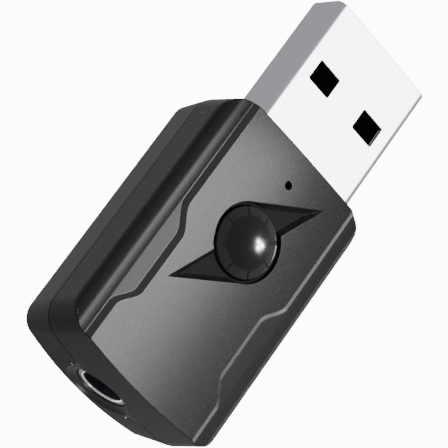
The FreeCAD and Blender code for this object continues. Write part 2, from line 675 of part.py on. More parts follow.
# ---- button and switch --------------------------------------------------------------
def button_cap():
    body = new_body("cap_body")
    drawing = sketch(body, "cap_outline", "XZ_Plane")
    rise = SIZES["cap_crown"] - SIZES["cap_dome_foot"]
    foot = SIZES["cap_dome_radius"]
    sphere = (foot ** 2 + rise ** 2) / (2 * rise)
    centre = (0, SIZES["cap_crown"] - sphere)
    foot_angle = math.atan2(SIZES["cap_dome_foot"] - centre[1], foot)
    dome = arc(drawing, centre, sphere, foot_angle, math.pi / 2)
    corners = [(0, S.cap_crown), (0, S.cap_stem_low), (S.cap_stem_radius, S.cap_stem_low),
               (S.cap_stem_radius, S.cap_flange_low), (S.cap_flange_radius, S.cap_flange_low),
               (S.cap_flange_radius, S.cap_flange_top), (S.cap_radius, S.cap_flange_top),
               (S.cap_radius, S.cap_rim), (S.cap_dome_radius, S.cap_dome_foot)]
    runs = [line(drawing, *pair) for pair in zip(corners, corners[1:])]
    for run, after in zip(runs, runs[1:]):
        fix(drawing, "Coincident", run, 2, after, 1)
    for run, corner in zip(runs, corners):
        pin_point(drawing, run, 1, *corner)
    pin_point(drawing, runs[-1], 2, *corners[-1])
    fix(drawing, "Coincident", dome, 2, runs[0], 1)
    fix(drawing, "Coincident", dome, 1, runs[-1], 2)
    fix(drawing, "PointOnObject", dome, 3, Y_AXIS)
    solid = body.newObject("PartDesign::Revolution", "cap_solid")
    solid.Profile = drawing
    solid.ReferenceAxis = (drawing, ["V_Axis"])
    solid.Angle = 360
    place(body, S.button_place)
    return finish(body, "button_cap")


def switch_block(name, z, shrink=0):
    half_length = S.switch_length / 2 - shrink
    half_width = S.switch_width / 2 - shrink
    return box(name, (S.button_place - half_length, S.button_place + half_length),
               (-half_width, half_width), z)


def push_switch():
    at = (S.button_place, 0)
    shell = switch_block("switch_block", (S.board_top, S.switch_base_top))
    well = cylinder("switch_well", "z", S.switch_well_radius, S.switch_well_low,
                    S.switch_base_top + 1, at)
    finish(cut("switch_base_cut", shell, [well]), "switch_base")
    plate = switch_block("switch_plate", (S.switch_base_top, S.switch_frame_top))
    bore = cylinder("switch_bore", "z", S.plunger_bore, S.switch_base_top - 1,
                    S.switch_frame_top + 1, at)
    finish(cut("switch_frame_cut", plate, [bore]), "switch_frame")
    plunger = new_body("plunger_body")
    revolve(plunger, "plunger_solid",
            [(0, S.plunger_foot_low), (S.plunger_foot_radius, S.plunger_foot_low),
             (S.plunger_foot_radius, S.plunger_foot_top),
             (S.plunger_radius, S.plunger_foot_top), (S.plunger_radius, S.cap_stem_low),
             (0, S.cap_stem_low)])
    place(plunger, S.button_place)
    finish(plunger, "switch_plunger")
    dome = new_body("snap_body")
    top, knee, thick = S.plunger_foot_low, S.snap_knee_height, S.snap_sheet
    revolve(dome, "snap_solid",
            [(0, top - thick), (S.snap_knee_radius, knee - thick),
             (S.snap_radius, S.switch_well_low), (S.snap_radius, S.switch_well_low + thick),
             (S.snap_knee_radius, knee), (0, top)])
    place(dome, S.button_place)
    finish(dome, "switch_snap_dome")


# ---- USB plug -----------------------------------------------------------------------
def usb_shell():
    body = new_body("shell_body")
    outer = sketch(body, "shell_section", "YZ_Plane", S.plug_rear)
    plug_section(outer, 0)
    pad(body, "shell_tube", outer, S.plug_tip - S.plug_rear)
    inner = sketch(body, "shell_inside", "YZ_Plane", S.plug_tip)
    plug_section(inner, -S.plug_wall)
    pocket(body, "shell_bore", inner, S.plug_tip - S.plug_rear)
    windows = sketch(body, "window_plan", "XY_Plane", S.plug_middle)
    for side in (1, -1):
        x0, x1 = S.window_front - S.window_length, S.window_front
        middle = S.window_place * side
        y0, y1 = middle - S.window_width / 2, middle + S.window_width / 2
        polygon(windows, [(x0, y0), (x1, y0), (x1, y1), (x0, y1)])
    pocket(body, "windows", windows, S.plug_height + 1, both=True)
    legs = []
    for side in (1, -1):
        outer_face, inner_face = S.plug_width / 2, S.plug_width / 2 - S.plug_wall
        low, high = (inner_face, outer_face) if side > 0 else (-outer_face, -inner_face)
        legs.append(box(f"shell_leg_{side % 3}", (S.shell_leg_end, S.plug_rear + 0.5),
                        (low, high), (S.shell_leg_low, S.shell_leg_high)))
    return finish(fuse("shell_whole", [body] + legs), "usb_shell")


def contact_box(name, place_y, tip, grow=0):
    half = S.contact_width / 2 + grow
    top = S.board_top + S.contact_thickness + grow
    return box(name, (S.contact_tail, tip), (place_y - half, place_y + half),
               (S.board_top, top))


CONTACTS = (("usb_contact_power", 1, "power"), ("usb_contact_data_minus", 1, "data"),
            ("usb_contact_data_plus", -1, "data"), ("usb_contact_ground", -1, "power"))


def usb_inside():
    """The tongue fills the shell's upper half, so it shows in the upper windows."""
    half = S.plug_width / 2 - S.plug_wall - S.tongue_gap
    low = S.plug_middle - S.plug_height / 2 + S.plug_wall + S.tongue_gap
    high = S.plug_middle + S.plug_height / 2 - S.plug_wall - S.tongue_gap
    blade = box("tongue_blade", (S.plug_rear, S.tongue_tip), (-half, half),
                (S.board_top + S.contact_thickness, high))
    block = box("tongue_block_box", (S.plug_rear, S.tongue_block), (-half + 0.5, half - 0.5),
                (low, high))
    whole = fuse("tongue_whole", [blade, block])
    tunnels = []
    for label, side, kind in CONTACTS:
        across = getattr(S, f"{kind}_contact_place") * side
        tip = getattr(S, f"{kind}_contact_tip")
        finish(contact_box(f"{label}_strip", across, tip), label)
        tunnels.append(contact_box(f"{label}_tunnel", across, S.tongue_block + 0.01, 0.01))
    corner = S.plug_round - S.plug_wall
    edges = []
    for side in (1, -1):
        y = half * side
        y_low, y_high = (y - corner, y + 1) if side > 0 else (y - 1, y + corner)
        edges.append(box(f"tongue_corner_{side % 3}", (S.plug_rear - 1, S.tongue_tip + 1),
                         (y_low, y_high), (high - corner * 0.6, high + 1)))
    finish(cut("tongue_cut", whole, tunnels + edges), "usb_tongue")


# ---- circuit board and what is soldered to it ------------------------------------------
def circuit_board():
    body = new_body("board_body")
    plan = sketch(body, "board_plan", "XY_Plane", S.board_low)
    rounded(plan, (S.board_rear, S.board_front), (-S.board_half_width, S.board_half_width),
            S.board_round)
    pad(body, "board_plate", plan, S.board_top - S.board_low)
    slots = []
    for side in (1, -1):
        inner = S.plug_width / 2 - S.plug_wall - S.board_slot_gap
        outer = S.plug_width / 2 + S.board_slot_gap
        low, high = (inner, outer) if side > 0 else (-outer, -inner)
        slots.append(box(f"board_slot_{side % 3}", (S.board_slot_end, S.board_front + 1),
                         (low, high), (S.board_low - 1, S.board_top + 1)))
    for name, start in SPRINGS:
        half = S.terminal_width / 2 + S.terminal_gap
        x0 = start - S.terminal_gap
        slots.append(box(f"{name}_hole", (x0, x0 + S.terminal_width + S.terminal_gap * 2),
                         (-half, half), (S.board_low - 1, S.board_top + 1)))
    return finish(cut("board_cut", body, slots), "circuit_board")


def chip(name, kind, under=False, shift=(0, 0)):
    """A flat component of one kind, on the board's top or hanging under it."""
    x, y, length, width, height = (getattr(S, f"{kind}_{word}")
                                   for word in ("x", "y", "length", "width", "height"))
    x, y = x + shift[0], y + shift[1]
    level = (S.board_low - height, S.board_low) if under else (S.board_top, S.board_top + height)
    return box(name, (x - length / 2, x + length / 2), (y - width / 2, y + width / 2), level)


def row(kind, count, pitch_x, pitch_y, under=False):
    """Chips of one kind, each a pitch further on than the last."""
    return [chip(f"{kind}_{index}", kind, under, (dim(pitch_x) * index, dim(pitch_y) * index))
            for index in range(count)]


def chips():
    finish(chip("radio_box", "radio"), "bluetooth_chip")
    finish(chip("crystal_box", "crystal"), "crystal_oscillator")
    finish(chip("memory_box", "memory"), "memory_chip")
    finish(chip("antenna_box", "antenna"), "chip_antenna")
    finish(chip("regulator_box", "regulator", under=True), "voltage_regulator")
    finish(chip("inductor_box", "inductor", under=True), "power_inductor")
    finish(chip("indicator_box", "indicator"), "status_led")
    audio = row("audio", 2, 0, S.audio_y * -2, under=True)
    finish(group("audio_capacitor_set", audio), "audio_capacitors")
    small = row("capacitor", 5, 0, S.row_pitch) + row("bulk", 2, 0, S.bulk_pitch)
    finish(group("capacitor_set", small), "chip_capacitors")
    small = row("resistor", 4, S.resistor_pitch, 0) + row("pull_up", 3, S.resistor_pitch, 0)
    finish(group("resistor_set", small), "chip_resistors")


def light_pipe():
    body = new_body("pipe_body")
    revolve(body, "pipe_solid",
            [(0, S.pipe_low), (S.pipe_radius, S.pipe_low), (S.pipe_radius, S.pipe_flange_low),
             (S.pipe_flange_radius, S.pipe_flange_low), (S.pipe_flange_radius, S.ceiling),
             (S.pipe_radius, S.ceiling), (S.pipe_radius, S.pipe_top), (0, S.pipe_top)])
    place(body, S.pinhole_place)
    return finish(body, "light_pipe")


# ---- headphone jack ---------------------------------------------------------------------
SPRINGS = (("jack_sleeve_spring", S.sleeve_spring), ("jack_ring_spring", S.ring_spring),
           ("jack_tip_spring", S.tip_spring))


def headphone_jack():
    axis = (0, S.jack_height)
    top = S.jack_height + S.jack_half_height
    block = box("jack_block", (S.jack_ring_rear, S.jack_body_rear),
                (-S.jack_half_width, S.jack_half_width), (S.jack_height - S.jack_half_height, top))
    bore = cylinder("jack_bore_rod", "x", S.jack_bore, S.jack_ring_rear - 1, S.jack_bore_end,
                    axis)
    tools = [bore]
    rest = S.jack_height + S.jack_bore + 0.02
    for name, start in SPRINGS:
        half = S.spring_width / 2 + S.spring_slot
        tools.append(box(f"{name}_slot", (start - S.spring_slot,
                         start + S.spring_length + S.spring_slot), (-half, half), (rest, top + 1)))
        half = S.spring_width / 2
        arm = box(f"{name}_arm", (start, start + S.spring_length), (-half, half),
                  (rest, rest + S.spring_thickness))
        half = S.terminal_width / 2
        pin = box(f"{name}_pin", (start, start + S.terminal_width), (-half, half),
                  (rest + S.spring_thickness / 2, S.terminal_top))
        finish(fuse(f"{name}_whole", [arm, pin]), name)
    finish(cut("jack_block_cut", block, tools), "jack_housing")
    barrel = cylinder("jack_barrel", "x", S.jack_ring_radius, S.jack_face, S.jack_ring_rear, axis)
    hole = cylinder("jack_barrel_hole", "x", S.jack_bore, S.jack_face - 1, S.jack_ring_rear + 1,
                    axis)
    mouth = cone("jack_barrel_mouth", S.jack_bore + S.jack_mouth, S.jack_bore, S.jack_face,
                 S.jack_face + S.jack_mouth, axis)
    finish(cut("jack_barrel_cut", barrel, [hole, mouth]), "jack_ring")


def check_and_write():
    """Stops on any failed object, then writes each piece to its own STEP file."""
    doc.recompute()
    for item in doc.Objects:
        if {"Invalid", "Error"} & set(item.State):
            raise RuntimeError(f"{item.Name} failed: {item.State}")
    os.makedirs("parts", exist_ok=True)
    for piece in parts:
        if piece.Shape.isNull() or not piece.Shape.isValid():
            raise RuntimeError(f"{piece.Label} has no valid shape")
        piece.Shape.exportStep(f"parts/{piece.Label}.step")
        print(f"{piece.Label}: {len(piece.Shape.Solids)} solid, {piece.Shape.Volume:.2f} mm3")


case_halves()
button_bezel()
button_cap()
push_switch()
usb_shell()
usb_inside()
circuit_board()
chips()
light_pipe()
headphone_jack()
check_and_write()
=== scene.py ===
"""Looks of the Bluetooth audio receiver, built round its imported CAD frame.

Lengths in this script are millimetres until a mesh is made. +X runs towards the plug's
tip, +Y towards the long side that the camera sees, and +Z up through the button.
"""

import math

import bpy
from mathutils import Matrix, Vector, geometry


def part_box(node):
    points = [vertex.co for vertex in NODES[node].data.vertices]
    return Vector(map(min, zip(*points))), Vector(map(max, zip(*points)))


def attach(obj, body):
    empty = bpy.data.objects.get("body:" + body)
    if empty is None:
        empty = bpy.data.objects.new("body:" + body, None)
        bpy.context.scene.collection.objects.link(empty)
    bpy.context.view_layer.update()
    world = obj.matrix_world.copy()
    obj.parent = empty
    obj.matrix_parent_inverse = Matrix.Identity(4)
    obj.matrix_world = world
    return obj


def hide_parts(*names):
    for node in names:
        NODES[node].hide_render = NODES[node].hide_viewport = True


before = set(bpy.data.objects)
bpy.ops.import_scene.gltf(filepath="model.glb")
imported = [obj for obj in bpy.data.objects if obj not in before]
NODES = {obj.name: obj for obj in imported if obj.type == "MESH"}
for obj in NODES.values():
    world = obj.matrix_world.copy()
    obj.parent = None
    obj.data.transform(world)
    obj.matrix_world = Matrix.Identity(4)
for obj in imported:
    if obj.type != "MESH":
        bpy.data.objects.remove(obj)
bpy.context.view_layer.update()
MM = 0.001


def node_box(name):
    """A CAD node's lowest and highest corners in millimetres."""
    low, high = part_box(name)
    return low / MM, high / MM


COVER_HIGH = node_box("upper_cover")[1]
BEZEL_HIGH = node_box("button_bezel")[1]
PLUG_LOW, PLUG_HIGH = node_box("usb_shell")
RING_LOW, RING_HIGH = node_box("jack_ring")
CAP_LOW, CAP_HIGH = node_box("button_cap")
PIPE_LOW, PIPE_HIGH = node_box("light_pipe")

# heights of the case
TOP = COVER_HIGH.z
SPLIT = 4.65
FOOT = 0.15
LEDGE = TOP - 0.35
RECESS_FLOOR = BEZEL_HIGH.z
PARTING_GAP = 0.03
FOOT_BEND = 0.25

# plan of the case at the parting line, and how far its walls lean in above and below
HALF_WIDTH = COVER_HIGH.y
JACK_END = -18.8
PLUG_END = COVER_HIGH.x
JACK_BOW = 60.0
PLUG_BOW = 235.0
CORNER = 2.35
TOP_DRAFT, TOP_JACK_DRAFT = 0.06, 0.4
BASE_DRAFT, BASE_JACK_DRAFT, BASE_PLUG_DRAFT = 0.9, 0.1, 0.2
BASE_JACK_BOW = 35.0
BASE_CORNER = 1.7
FOOT_INSET = 0.15

# raised top: its half widths, its finger notches' ends along X and its walls' half width
RIDGE = 6.6
NOTCH = 5.3
NOTCH_PLUG_SIDE = (-4.0, -6.7)
NOTCH_JACK_SIDE = (-12.2, -14.65)
RIDGE_WALL = 0.25
EDGE = 0.05

# shoulders beside it: their start, (distance from the middle, height) of the round's ends,
# how far it would run on, the lines that the mesh follows, and the outer edge's start
SHOULDER = 6.95
SHOULDER_CREST = (7.7, LEDGE - 0.13)
SHOULDER_FOOT = (8.81, 7.68)
SHOULDER_ROUND = 1.15
SHOULDER_LINES = (7.15, 8.75)
OUTER_BAND = 8.2

# button, its recess and the pinhole
BUTTON = Vector(((CAP_LOW.x + CAP_HIGH.x) / 2, 0, 0))
RECESS_RADIUS = 3.35
BLADE_TIP = Vector((7.05, -4.1, 0))
BLADE_JOIN = 2.55
BLADE_SLOPE = 0.42
BLADE_MIDDLE = 0.62
BLADE_OVERRUN = 0.2
RECESS_REACH = BLADE_TIP.length + 1
PINHOLE = Vector(((PIPE_LOW.x + PIPE_HIGH.x) / 2, 0, 0))
PINHOLE_RADIUS = 0.35

# headphone jack: its dish, how the dish bends on its way in, and the seam's tab beside it
JACK_HEIGHT = (RING_LOW.z + RING_HIGH.z) / 2
DISH_RADIUS = 3.17
DISH_MIDDLE = 3.5
DISH_CROWN = 5.9
DISH_FLOOR_RADIUS = 2.42
DISH_FLOOR = JACK_END + 0.47
DISH_BEND = 0.45
DISH_SINK = 0.1
DISH_LIP = 0.12
DISH_SLEEVE = 0.6
TAB_ROOT = 4.4
TAB_TIP = 3.4
TAB_GAP = 0.015
TAB_ANGLE = -math.asin((DISH_MIDDLE - JACK_HEIGHT) / DISH_RADIUS)


# ---- the case's outside surface ------------------------------------------------------
class Ring:
    """The case's plan at one height, walked round by s from 0 to 8, one per stretch.

    Stretches 1 and 5 are the long sides, 3 is the jack end, 7 the plug end, and the even
    ones are the corners between them.
    """

    def __init__(self, half_width, jack_end, jack_bow, plug_end, plug_bow, corner):
        self.half_width = half_width
        self.corner = corner
        self.side = half_width - corner
        self.jack = self.end(jack_end, jack_bow, -1)
        self.plug = self.end(plug_end, plug_bow, 1)

    def end(self, reach, bow, way):
        """The bow's centre, its radius, its half angle and the corner arcs' centre."""
        centre = reach - way * bow
        lean = math.asin(self.side / (bow - self.corner))
        corner_x = centre + way * (bow - self.corner) * math.cos(lean)
        return centre, bow, lean, corner_x

    def at(self, s):
        """The plan's point at s."""
        stretch, t = int(s // 1) % 8, s % 1
        jack_centre, jack_bow, jack_lean, jack_x = self.jack
        plug_centre, plug_bow, plug_lean, plug_x = self.plug
        if stretch == 1:
            return Vector((plug_x + (jack_x - plug_x) * t, self.half_width, 0))
        if stretch == 5:
            return Vector((jack_x + (plug_x - jack_x) * t, -self.half_width, 0))
        if stretch == 3:
            return polar(jack_centre, 0, jack_bow, math.pi + jack_lean * (2 * t - 1))
        if stretch == 7:
            return polar(plug_centre, 0, plug_bow, plug_lean * (2 * t - 1))
        quarter = math.pi / 2
        if stretch == 0:
            return polar(plug_x, self.side, self.corner, plug_lean + (quarter - plug_lean) * t)
        if stretch == 2:
            return polar(jack_x, self.side, self.corner, quarter + (quarter - jack_lean) * t)
        if stretch == 4:
            start = math.pi + jack_lean
            return polar(jack_x, -self.side, self.corner, start + (quarter - jack_lean) * t)
        return polar(plug_x, -self.side, self.corner, (quarter - plug_lean) * t - quarter)


def polar(x, y, radius, angle):
    """The point at a radius and an angle round (x, y)."""
    return Vector((x + radius * math.cos(angle), y + radius * math.sin(angle), 0))


JACK_STRETCH = 3
SPLIT_RING = Ring(HALF_WIDTH, JACK_END, JACK_BOW, PLUG_END, PLUG_BOW, CORNER)
TOP_RING = Ring(HALF_WIDTH - TOP_DRAFT, JACK_END + TOP_JACK_DRAFT, JACK_BOW, PLUG_END, PLUG_BOW,
                CORNER)


def base_ring(shrink):
    """The base's plan at its lower edge, drawn in by shrink."""
    return Ring(HALF_WIDTH - (BASE_DRAFT + shrink), JACK_END + (BASE_JACK_DRAFT + shrink),
                BASE_JACK_BOW, PLUG_END - (BASE_PLUG_DRAFT + shrink), PLUG_BOW,
                BASE_CORNER - shrink)


LOW_RING = base_ring(0)
FOOT_RING = base_ring(FOOT_INSET)


def wall_point(s, z):
    """The case's side wall at height z."""
    if z >= SPLIT:
        low, high, share = SPLIT_RING, TOP_RING, (z - SPLIT) / (TOP - SPLIT)
    elif z >= FOOT:
        low, high, share = LOW_RING, SPLIT_RING, (z - FOOT) / (SPLIT - FOOT)
    else:
        low, high, share = FOOT_RING, LOW_RING, z / FOOT
    point = low.at(s).lerp(high.at(s), share)
    point.z = z
    return point


def wall_normal(s, z, upper):
    """The side wall's outward normal; upper picks the half whose slope counts at the seam."""
    step = 0.01
    along = wall_point(s + step, z) - wall_point(s - step, z)
    z = max(z, SPLIT) if upper else min(z, SPLIT - 2 * step)
    rise = wall_point(s, z + step) - wall_point(s, z)
    return along.cross(rise).normalized()


def jack_s(y, z):
    """Where on the jack end's bow the wall at height z has this y."""
    low, high = JACK_STRETCH, JACK_STRETCH + 1
    for _ in range(30):
        middle = (low + high) / 2
        if wall_point(middle, z).y > y:
            low = middle
        else:
            high = middle
    return (low + high) / 2


def ease(t):
    """Rises smoothly from 0 to 1 as t does, and stays level outside."""
    t = min(max(t, 0.0), 1.0)
    return t * t * (3 - 2 * t)


def ridge_at(x):
    """Half width of the raised top, drawn in by the finger notch."""
    plug_start, plug_end = NOTCH_PLUG_SIDE
    jack_end, jack_start = NOTCH_JACK_SIDE
    inwards = ease((plug_start - x) / (plug_start - plug_end))
    outwards = ease((x - jack_start) / (jack_end - jack_start))
    return RIDGE - (RIDGE - NOTCH) * min(inwards, outwards)


def shoulder(y):
    """Height of the shoulder at distance y from the middle: a faint hollow, then a round."""
    crest_y, crest_z = SHOULDER_CREST
    if y <= crest_y:
        t = (y - SHOULDER) / (crest_y - SHOULDER)
        return LEDGE + (crest_z - LEDGE) * (1 - (1 - t) ** 2)
    foot_y, foot_z = SHOULDER_FOOT
    run, drop = foot_y - crest_y, crest_z - foot_z
    reach = min((y - crest_y) / (run * SHOULDER_ROUND), 1.0)
    full = 1 - math.sqrt(1 - min(1 / SHOULDER_ROUND, 1.0) ** 2)
    return crest_z - drop * (1 - math.sqrt(1 - reach ** 2)) / full


def blade_edges():
    """For each wing, its inner and its outer edge as (tip, far end)."""
    reach = math.hypot(BLADE_TIP.x, BLADE_TIP.y)
    join = Vector((BLADE_JOIN, -math.sqrt(RECESS_RADIUS ** 2 - BLADE_JOIN ** 2), 0))
    tip_angle = math.atan2(BLADE_TIP.y, BLADE_TIP.x)
    touch = polar(0, 0, RECESS_RADIUS, tip_angle + math.acos(RECESS_RADIUS / reach))
    edges = []
    for turn in (1, -1):
        tip = BUTTON + BLADE_TIP * turn
        edges.append([(tip, BUTTON + join * turn), (tip, BUTTON + touch * turn)])
    return edges


BLADE_EDGES = blade_edges()


def inside_edge(edge, point, centre_side):
    """Distance of a point inside an edge line, on the side of centre_side."""
    tip, far = edge
    along = (far - tip).normalized()
    across = Vector((-along.y, along.x, 0))
    if across.dot(centre_side - tip) < 0:
        across = -across
    return across.dot(point - tip)


def wing_depth(point):
    """How far inside a wing's sloped edges a point lies, and 0 outside both wings."""
    best = 0.0
    for (inner, outer), turn in zip(BLADE_EDGES, (1, -1)):
        aim = BUTTON + (BLADE_TIP * turn) * BLADE_MIDDLE
        tip, touch = outer
        if (point - BUTTON).dot(BLADE_TIP * turn) <= 0 or (point - touch).dot(touch - tip) > 0:
            continue
        inside = min(inside_edge(inner, point, aim), inside_edge(outer, point, aim))
        best = max(best, inside)
    return best


def top_height(x, y):
    """Height of the case's top."""
    side = abs(y)
    edge = ridge_at(x)
    raised = (side - (edge - RIDGE_WALL)) / (2 * RIDGE_WALL)
    if raised < 1:
        height = TOP - (TOP - LEDGE) * max(raised, 0.0)
    elif side <= SHOULDER:
        height = LEDGE
    else:
        height = shoulder(side)
    point = Vector((x, y, 0))
    if (point - BUTTON).length > RECESS_REACH:
        return height
    depth = TOP - RECESS_FLOOR
    round_wall = (RECESS_RADIUS - (point - BUTTON).length) / EDGE
    wing_wall = wing_depth(point) / BLADE_SLOPE
    return height - depth * min(max(round_wall, wing_wall, 0.0), 1.0)


def top_normal(x, y):
    """The top's normal, averaged over an edge's width so that edges look rounded."""
    slope_x = (top_height(x + EDGE, y) - top_height(x - EDGE, y)) / (2 * EDGE)
    slope_y = (top_height(x, y + EDGE) - top_height(x, y - EDGE)) / (2 * EDGE)
    return Vector((-slope_x, -slope_y, 1)).normalized()


def rim_height(s):
    """Height at which the side wall at s meets the top."""
    z = TOP
    for _ in range(12):
        point = wall_point(s, z)
        z = top_height(point.x, point.y)
    return z


# ---- mesh building ------------------------------------------------------------------
MERGE_DISTANCE = 1e-5


class Skin:
    """Collects vertices, their normals and faces, then makes one mesh object of them."""

    def __init__(self):
        self.points = []
        self.normals = []
        self.faces = []
        self.slots = []

    def add(self, point, normal):
        """Adds a vertex and returns its number."""
        self.points.append(point)
        self.normals.append(normal)
        return len(self.points) - 1

    def face(self, corners, slot=0):
        """Adds a face, turned so that it looks the way its normals do."""
        a, b, c = (self.points[corner] for corner in corners[:3])
        if (b - a).cross(c - a).dot(self.normals[corners[0]]) < 0:
            corners = corners[::-1]
        self.faces.append(corners)
        self.slots.append(slot)

    def grid(self, rows, slot=0):
        """Joins rows of (point, normal) pairs by quads."""
        numbers = [[self.add(*pair) for pair in row] for row in rows]
        for low, high in zip(numbers, numbers[1:]):
            for i in range(len(low) - 1):
                self.face([low[i], low[i + 1], high[i + 1], high[i]], slot)

    def fill(self, surface, loops, inner_lines, spacing, slot_at=None, skip=None):
        """Fills the area inside the first loop and outside the others.

        surface gives (point, normal) for two coordinates; inner_lines are followed by edges;
        slot_at gives a face's material slot from its middle; skip tells the faces to leave out.
        """
        outer, holes = loops[0], loops[1:]
        spots, edges = joined(loops, inner_lines)
        spots += lattice(outer, spacing)
        found, _, triangles, *_ = geometry.delaunay_2d_cdt(spots, edges, [], 0, MERGE_DISTANCE)
        numbers = {}
        for triangle in triangles:
            middle = sum((found[i] for i in triangle), Vector((0, 0))) / 3
            if not within(middle, outer) or any(within(middle, hole) for hole in holes):
                continue
            if skip and skip(middle):
                continue
            for i in triangle:
                if i not in numbers:
                    numbers[i] = self.add(*surface(found[i].x, found[i].y))
            self.face([numbers[i] for i in triangle], slot_at(middle) if slot_at else 0)

    def build(self, name, materials):
        """Makes the mesh object, with the collected normals and the materials as its slots."""
        mesh = bpy.data.meshes.new(name)
        mesh.from_pydata([point * MM for point in self.points], [], self.faces)
        for material in materials:
            mesh.materials.append(material)
        mesh.polygons.foreach_set("material_index", self.slots)
        mesh.polygons.foreach_set("use_smooth", [True] * len(self.faces))
        mesh.normals_split_custom_set_from_vertices(self.normals)
        mesh.update()
        piece = bpy.data.objects.new(name, mesh)
        bpy.context.scene.collection.objects.link(piece)
        return piece


def joined(loops, lines):
    """The spots of closed loops and open lines, and the edges between them."""
    spots, edges = [], []
    for path, closed in [(loop, True) for loop in loops] + [(line, False) for line in lines]:
        first, last = len(spots), len(spots) + len(path) - 1
        spots += [Vector(spot) for spot in path]
        edges += [(i, i + 1) for i in range(first, last)]
        if closed:
            edges.append((last, first))
    return spots, edges


def lattice(outline, spacing):
    """Spots spread over an outline's box, with every second column moved by half a step."""
    low_u, high_u = min(p[0] for p in outline), max(p[0] for p in outline)
    low_v, high_v = min(p[1] for p in outline), max(p[1] for p in outline)
    spots = []
    for i in range(1, int((high_u - low_u) / spacing)):
        for j in range(1, int((high_v - low_v) / spacing)):
            shift = 0.5 * (i % 2)
            spots.append(Vector((low_u + i * spacing, low_v + (j + shift) * spacing)))
    return spots


def within(spot, loop):
    """True if a spot lies inside a closed loop of corners."""
    x, y = spot[0], spot[1]
    inside = False
    last_x, last_y = loop[-1][0], loop[-1][1]
    for corner in loop:
        next_x, next_y = corner[0], corner[1]
        if (next_y > y) != (last_y > y):
            if x < (last_x - next_x) * (y - next_y) / (last_y - next_y) + next_x:
                inside = not inside
        last_x, last_y = next_x, next_y
    return inside


def inset(path, amount, closed=False):
    """A path moved to its left by amount."""
    moved = []
    last = len(path) - 1
    for i, spot in enumerate(path):
        before = path[i - 1] if i > 0 or closed else spot
        after = path[(i + 1) % len(path)] if i < last or closed else spot
        along = (Vector(after) - Vector(before)).normalized()
        moved.append((spot[0] - along.y * amount, spot[1] + along.x * amount))
    return moved


def bend(start, corner, end, leaving, arriving, shares):
    """(point, normal) pairs on a curve from start to end that turns at corner.

    leaving and arriving are the normals at the curve's ends; shares runs from 0 to 1.
    """
    pairs = []
    for t in shares:
        point = start * (1 - t) ** 2 + corner * 2 * t * (1 - t) + end * t ** 2
        pairs.append((point, (leaving * (1 - t) + arriving * t).normalized()))
    return pairs


def columns_of(rows):
    """Rows turned into columns."""
    return [list(column) for column in zip(*rows)]


def edge_rows(surface, path, amount, depth):
    """Rows that turn a surface's edge inwards: a small round, then a wall depth deep."""
    rows = []
    for spot, inner in zip(path, inset(path, amount)):
        corner, corner_normal = surface(*spot)
        start, normal = surface(*inner)
        side = (corner - start).normalized()
        low = corner - corner_normal * abs(amount)
        row = bend(start, corner, low, normal, side, ROUND_SHARES)
        rows.append(row + [(corner - corner_normal * depth, side)])
    return columns_of(rows)


def steps(start, end, count):
    """Evenly spaced values from start to end."""
    return [start + (end - start) * i / count for i in range(count + 1)]


ROUND_SHARES = steps(0, 1, 4)
LIP_SHARES = (0.3, 0.6, 1.0)
BOWL_SHARES = steps(0.15, 1, 6)


# ---- the two halves of the case --------------------------------------------------------
RIM_ROUND = 0.12
SEAM_ROUND = 0.07
SEAM_DEPTH = 0.5
STRETCH_STEPS = (10, 60, 12, 60, 12, 60, 10, 40)
BELOW_TOP, ABOVE_FLOOR = 0.001, 0.01
ARCH_STEPS = 72
WALL_STEPS = 6
TOP_SPACING, END_SPACING, SOLE_SPACING = 0.55, 0.45, 2.0


def walk(start, end):
    """Values of s from stretch start up to stretch end, closely spaced on the corners."""
    values = []
    for stretch in range(start, end):
        count = STRETCH_STEPS[stretch % 8]
        values += [stretch + i / count for i in range(count)]
    return values + [float(end)]


def cover_wall(y, z):
    """The cover's jack end as a surface of y and z."""
    s = jack_s(y, z)
    return wall_point(s, z), wall_normal(s, z, z >= SPLIT)


def base_wall(y, z):
    """The base's jack end as a surface of y and z."""
    s = jack_s(y, z)
    return wall_point(s, z), wall_normal(s, z, False)


def top_surface(x, y):
    """The cover's top as a surface of x and y."""
    return Vector((x, y, top_height(x, y))), top_normal(x, y)


def tab_curve(grow):
    """The seam's tab on the +Y side, from the parting line down to the recess.

    grow moves it away from the jack.
    """
    centre_y, centre_z = TAB_ROOT, JACK_HEIGHT
    across, down = TAB_ROOT - TAB_TIP - grow, SPLIT - JACK_HEIGHT
    angles = steps(0, math.pi / 2, 10)
    return [(centre_y - across * math.sin(a), centre_z + down * math.cos(a)) for a in angles]


def recess_arch(start, end):
    """The jack recess's outline: a half circle below, a flatter arch above."""
    rise = DISH_CROWN - DISH_MIDDLE
    radius = (DISH_RADIUS ** 2 + rise ** 2) / (2 * rise)
    drop = DISH_MIDDLE - (DISH_CROWN - radius)
    path = []
    for angle in steps(start, end, ARCH_STEPS):
        y, z = math.cos(angle), math.sin(angle)
        reach = DISH_RADIUS
        if z > 0:
            reach = -drop * z + math.sqrt(radius ** 2 - (drop * y) ** 2)
        path.append((reach * y, DISH_MIDDLE + reach * z))
    return path


def towards_jack(way):
    """A direction's unit vector, turned to point out of the jack end."""
    way = way.normalized()
    return way if way.x < 0 else -way


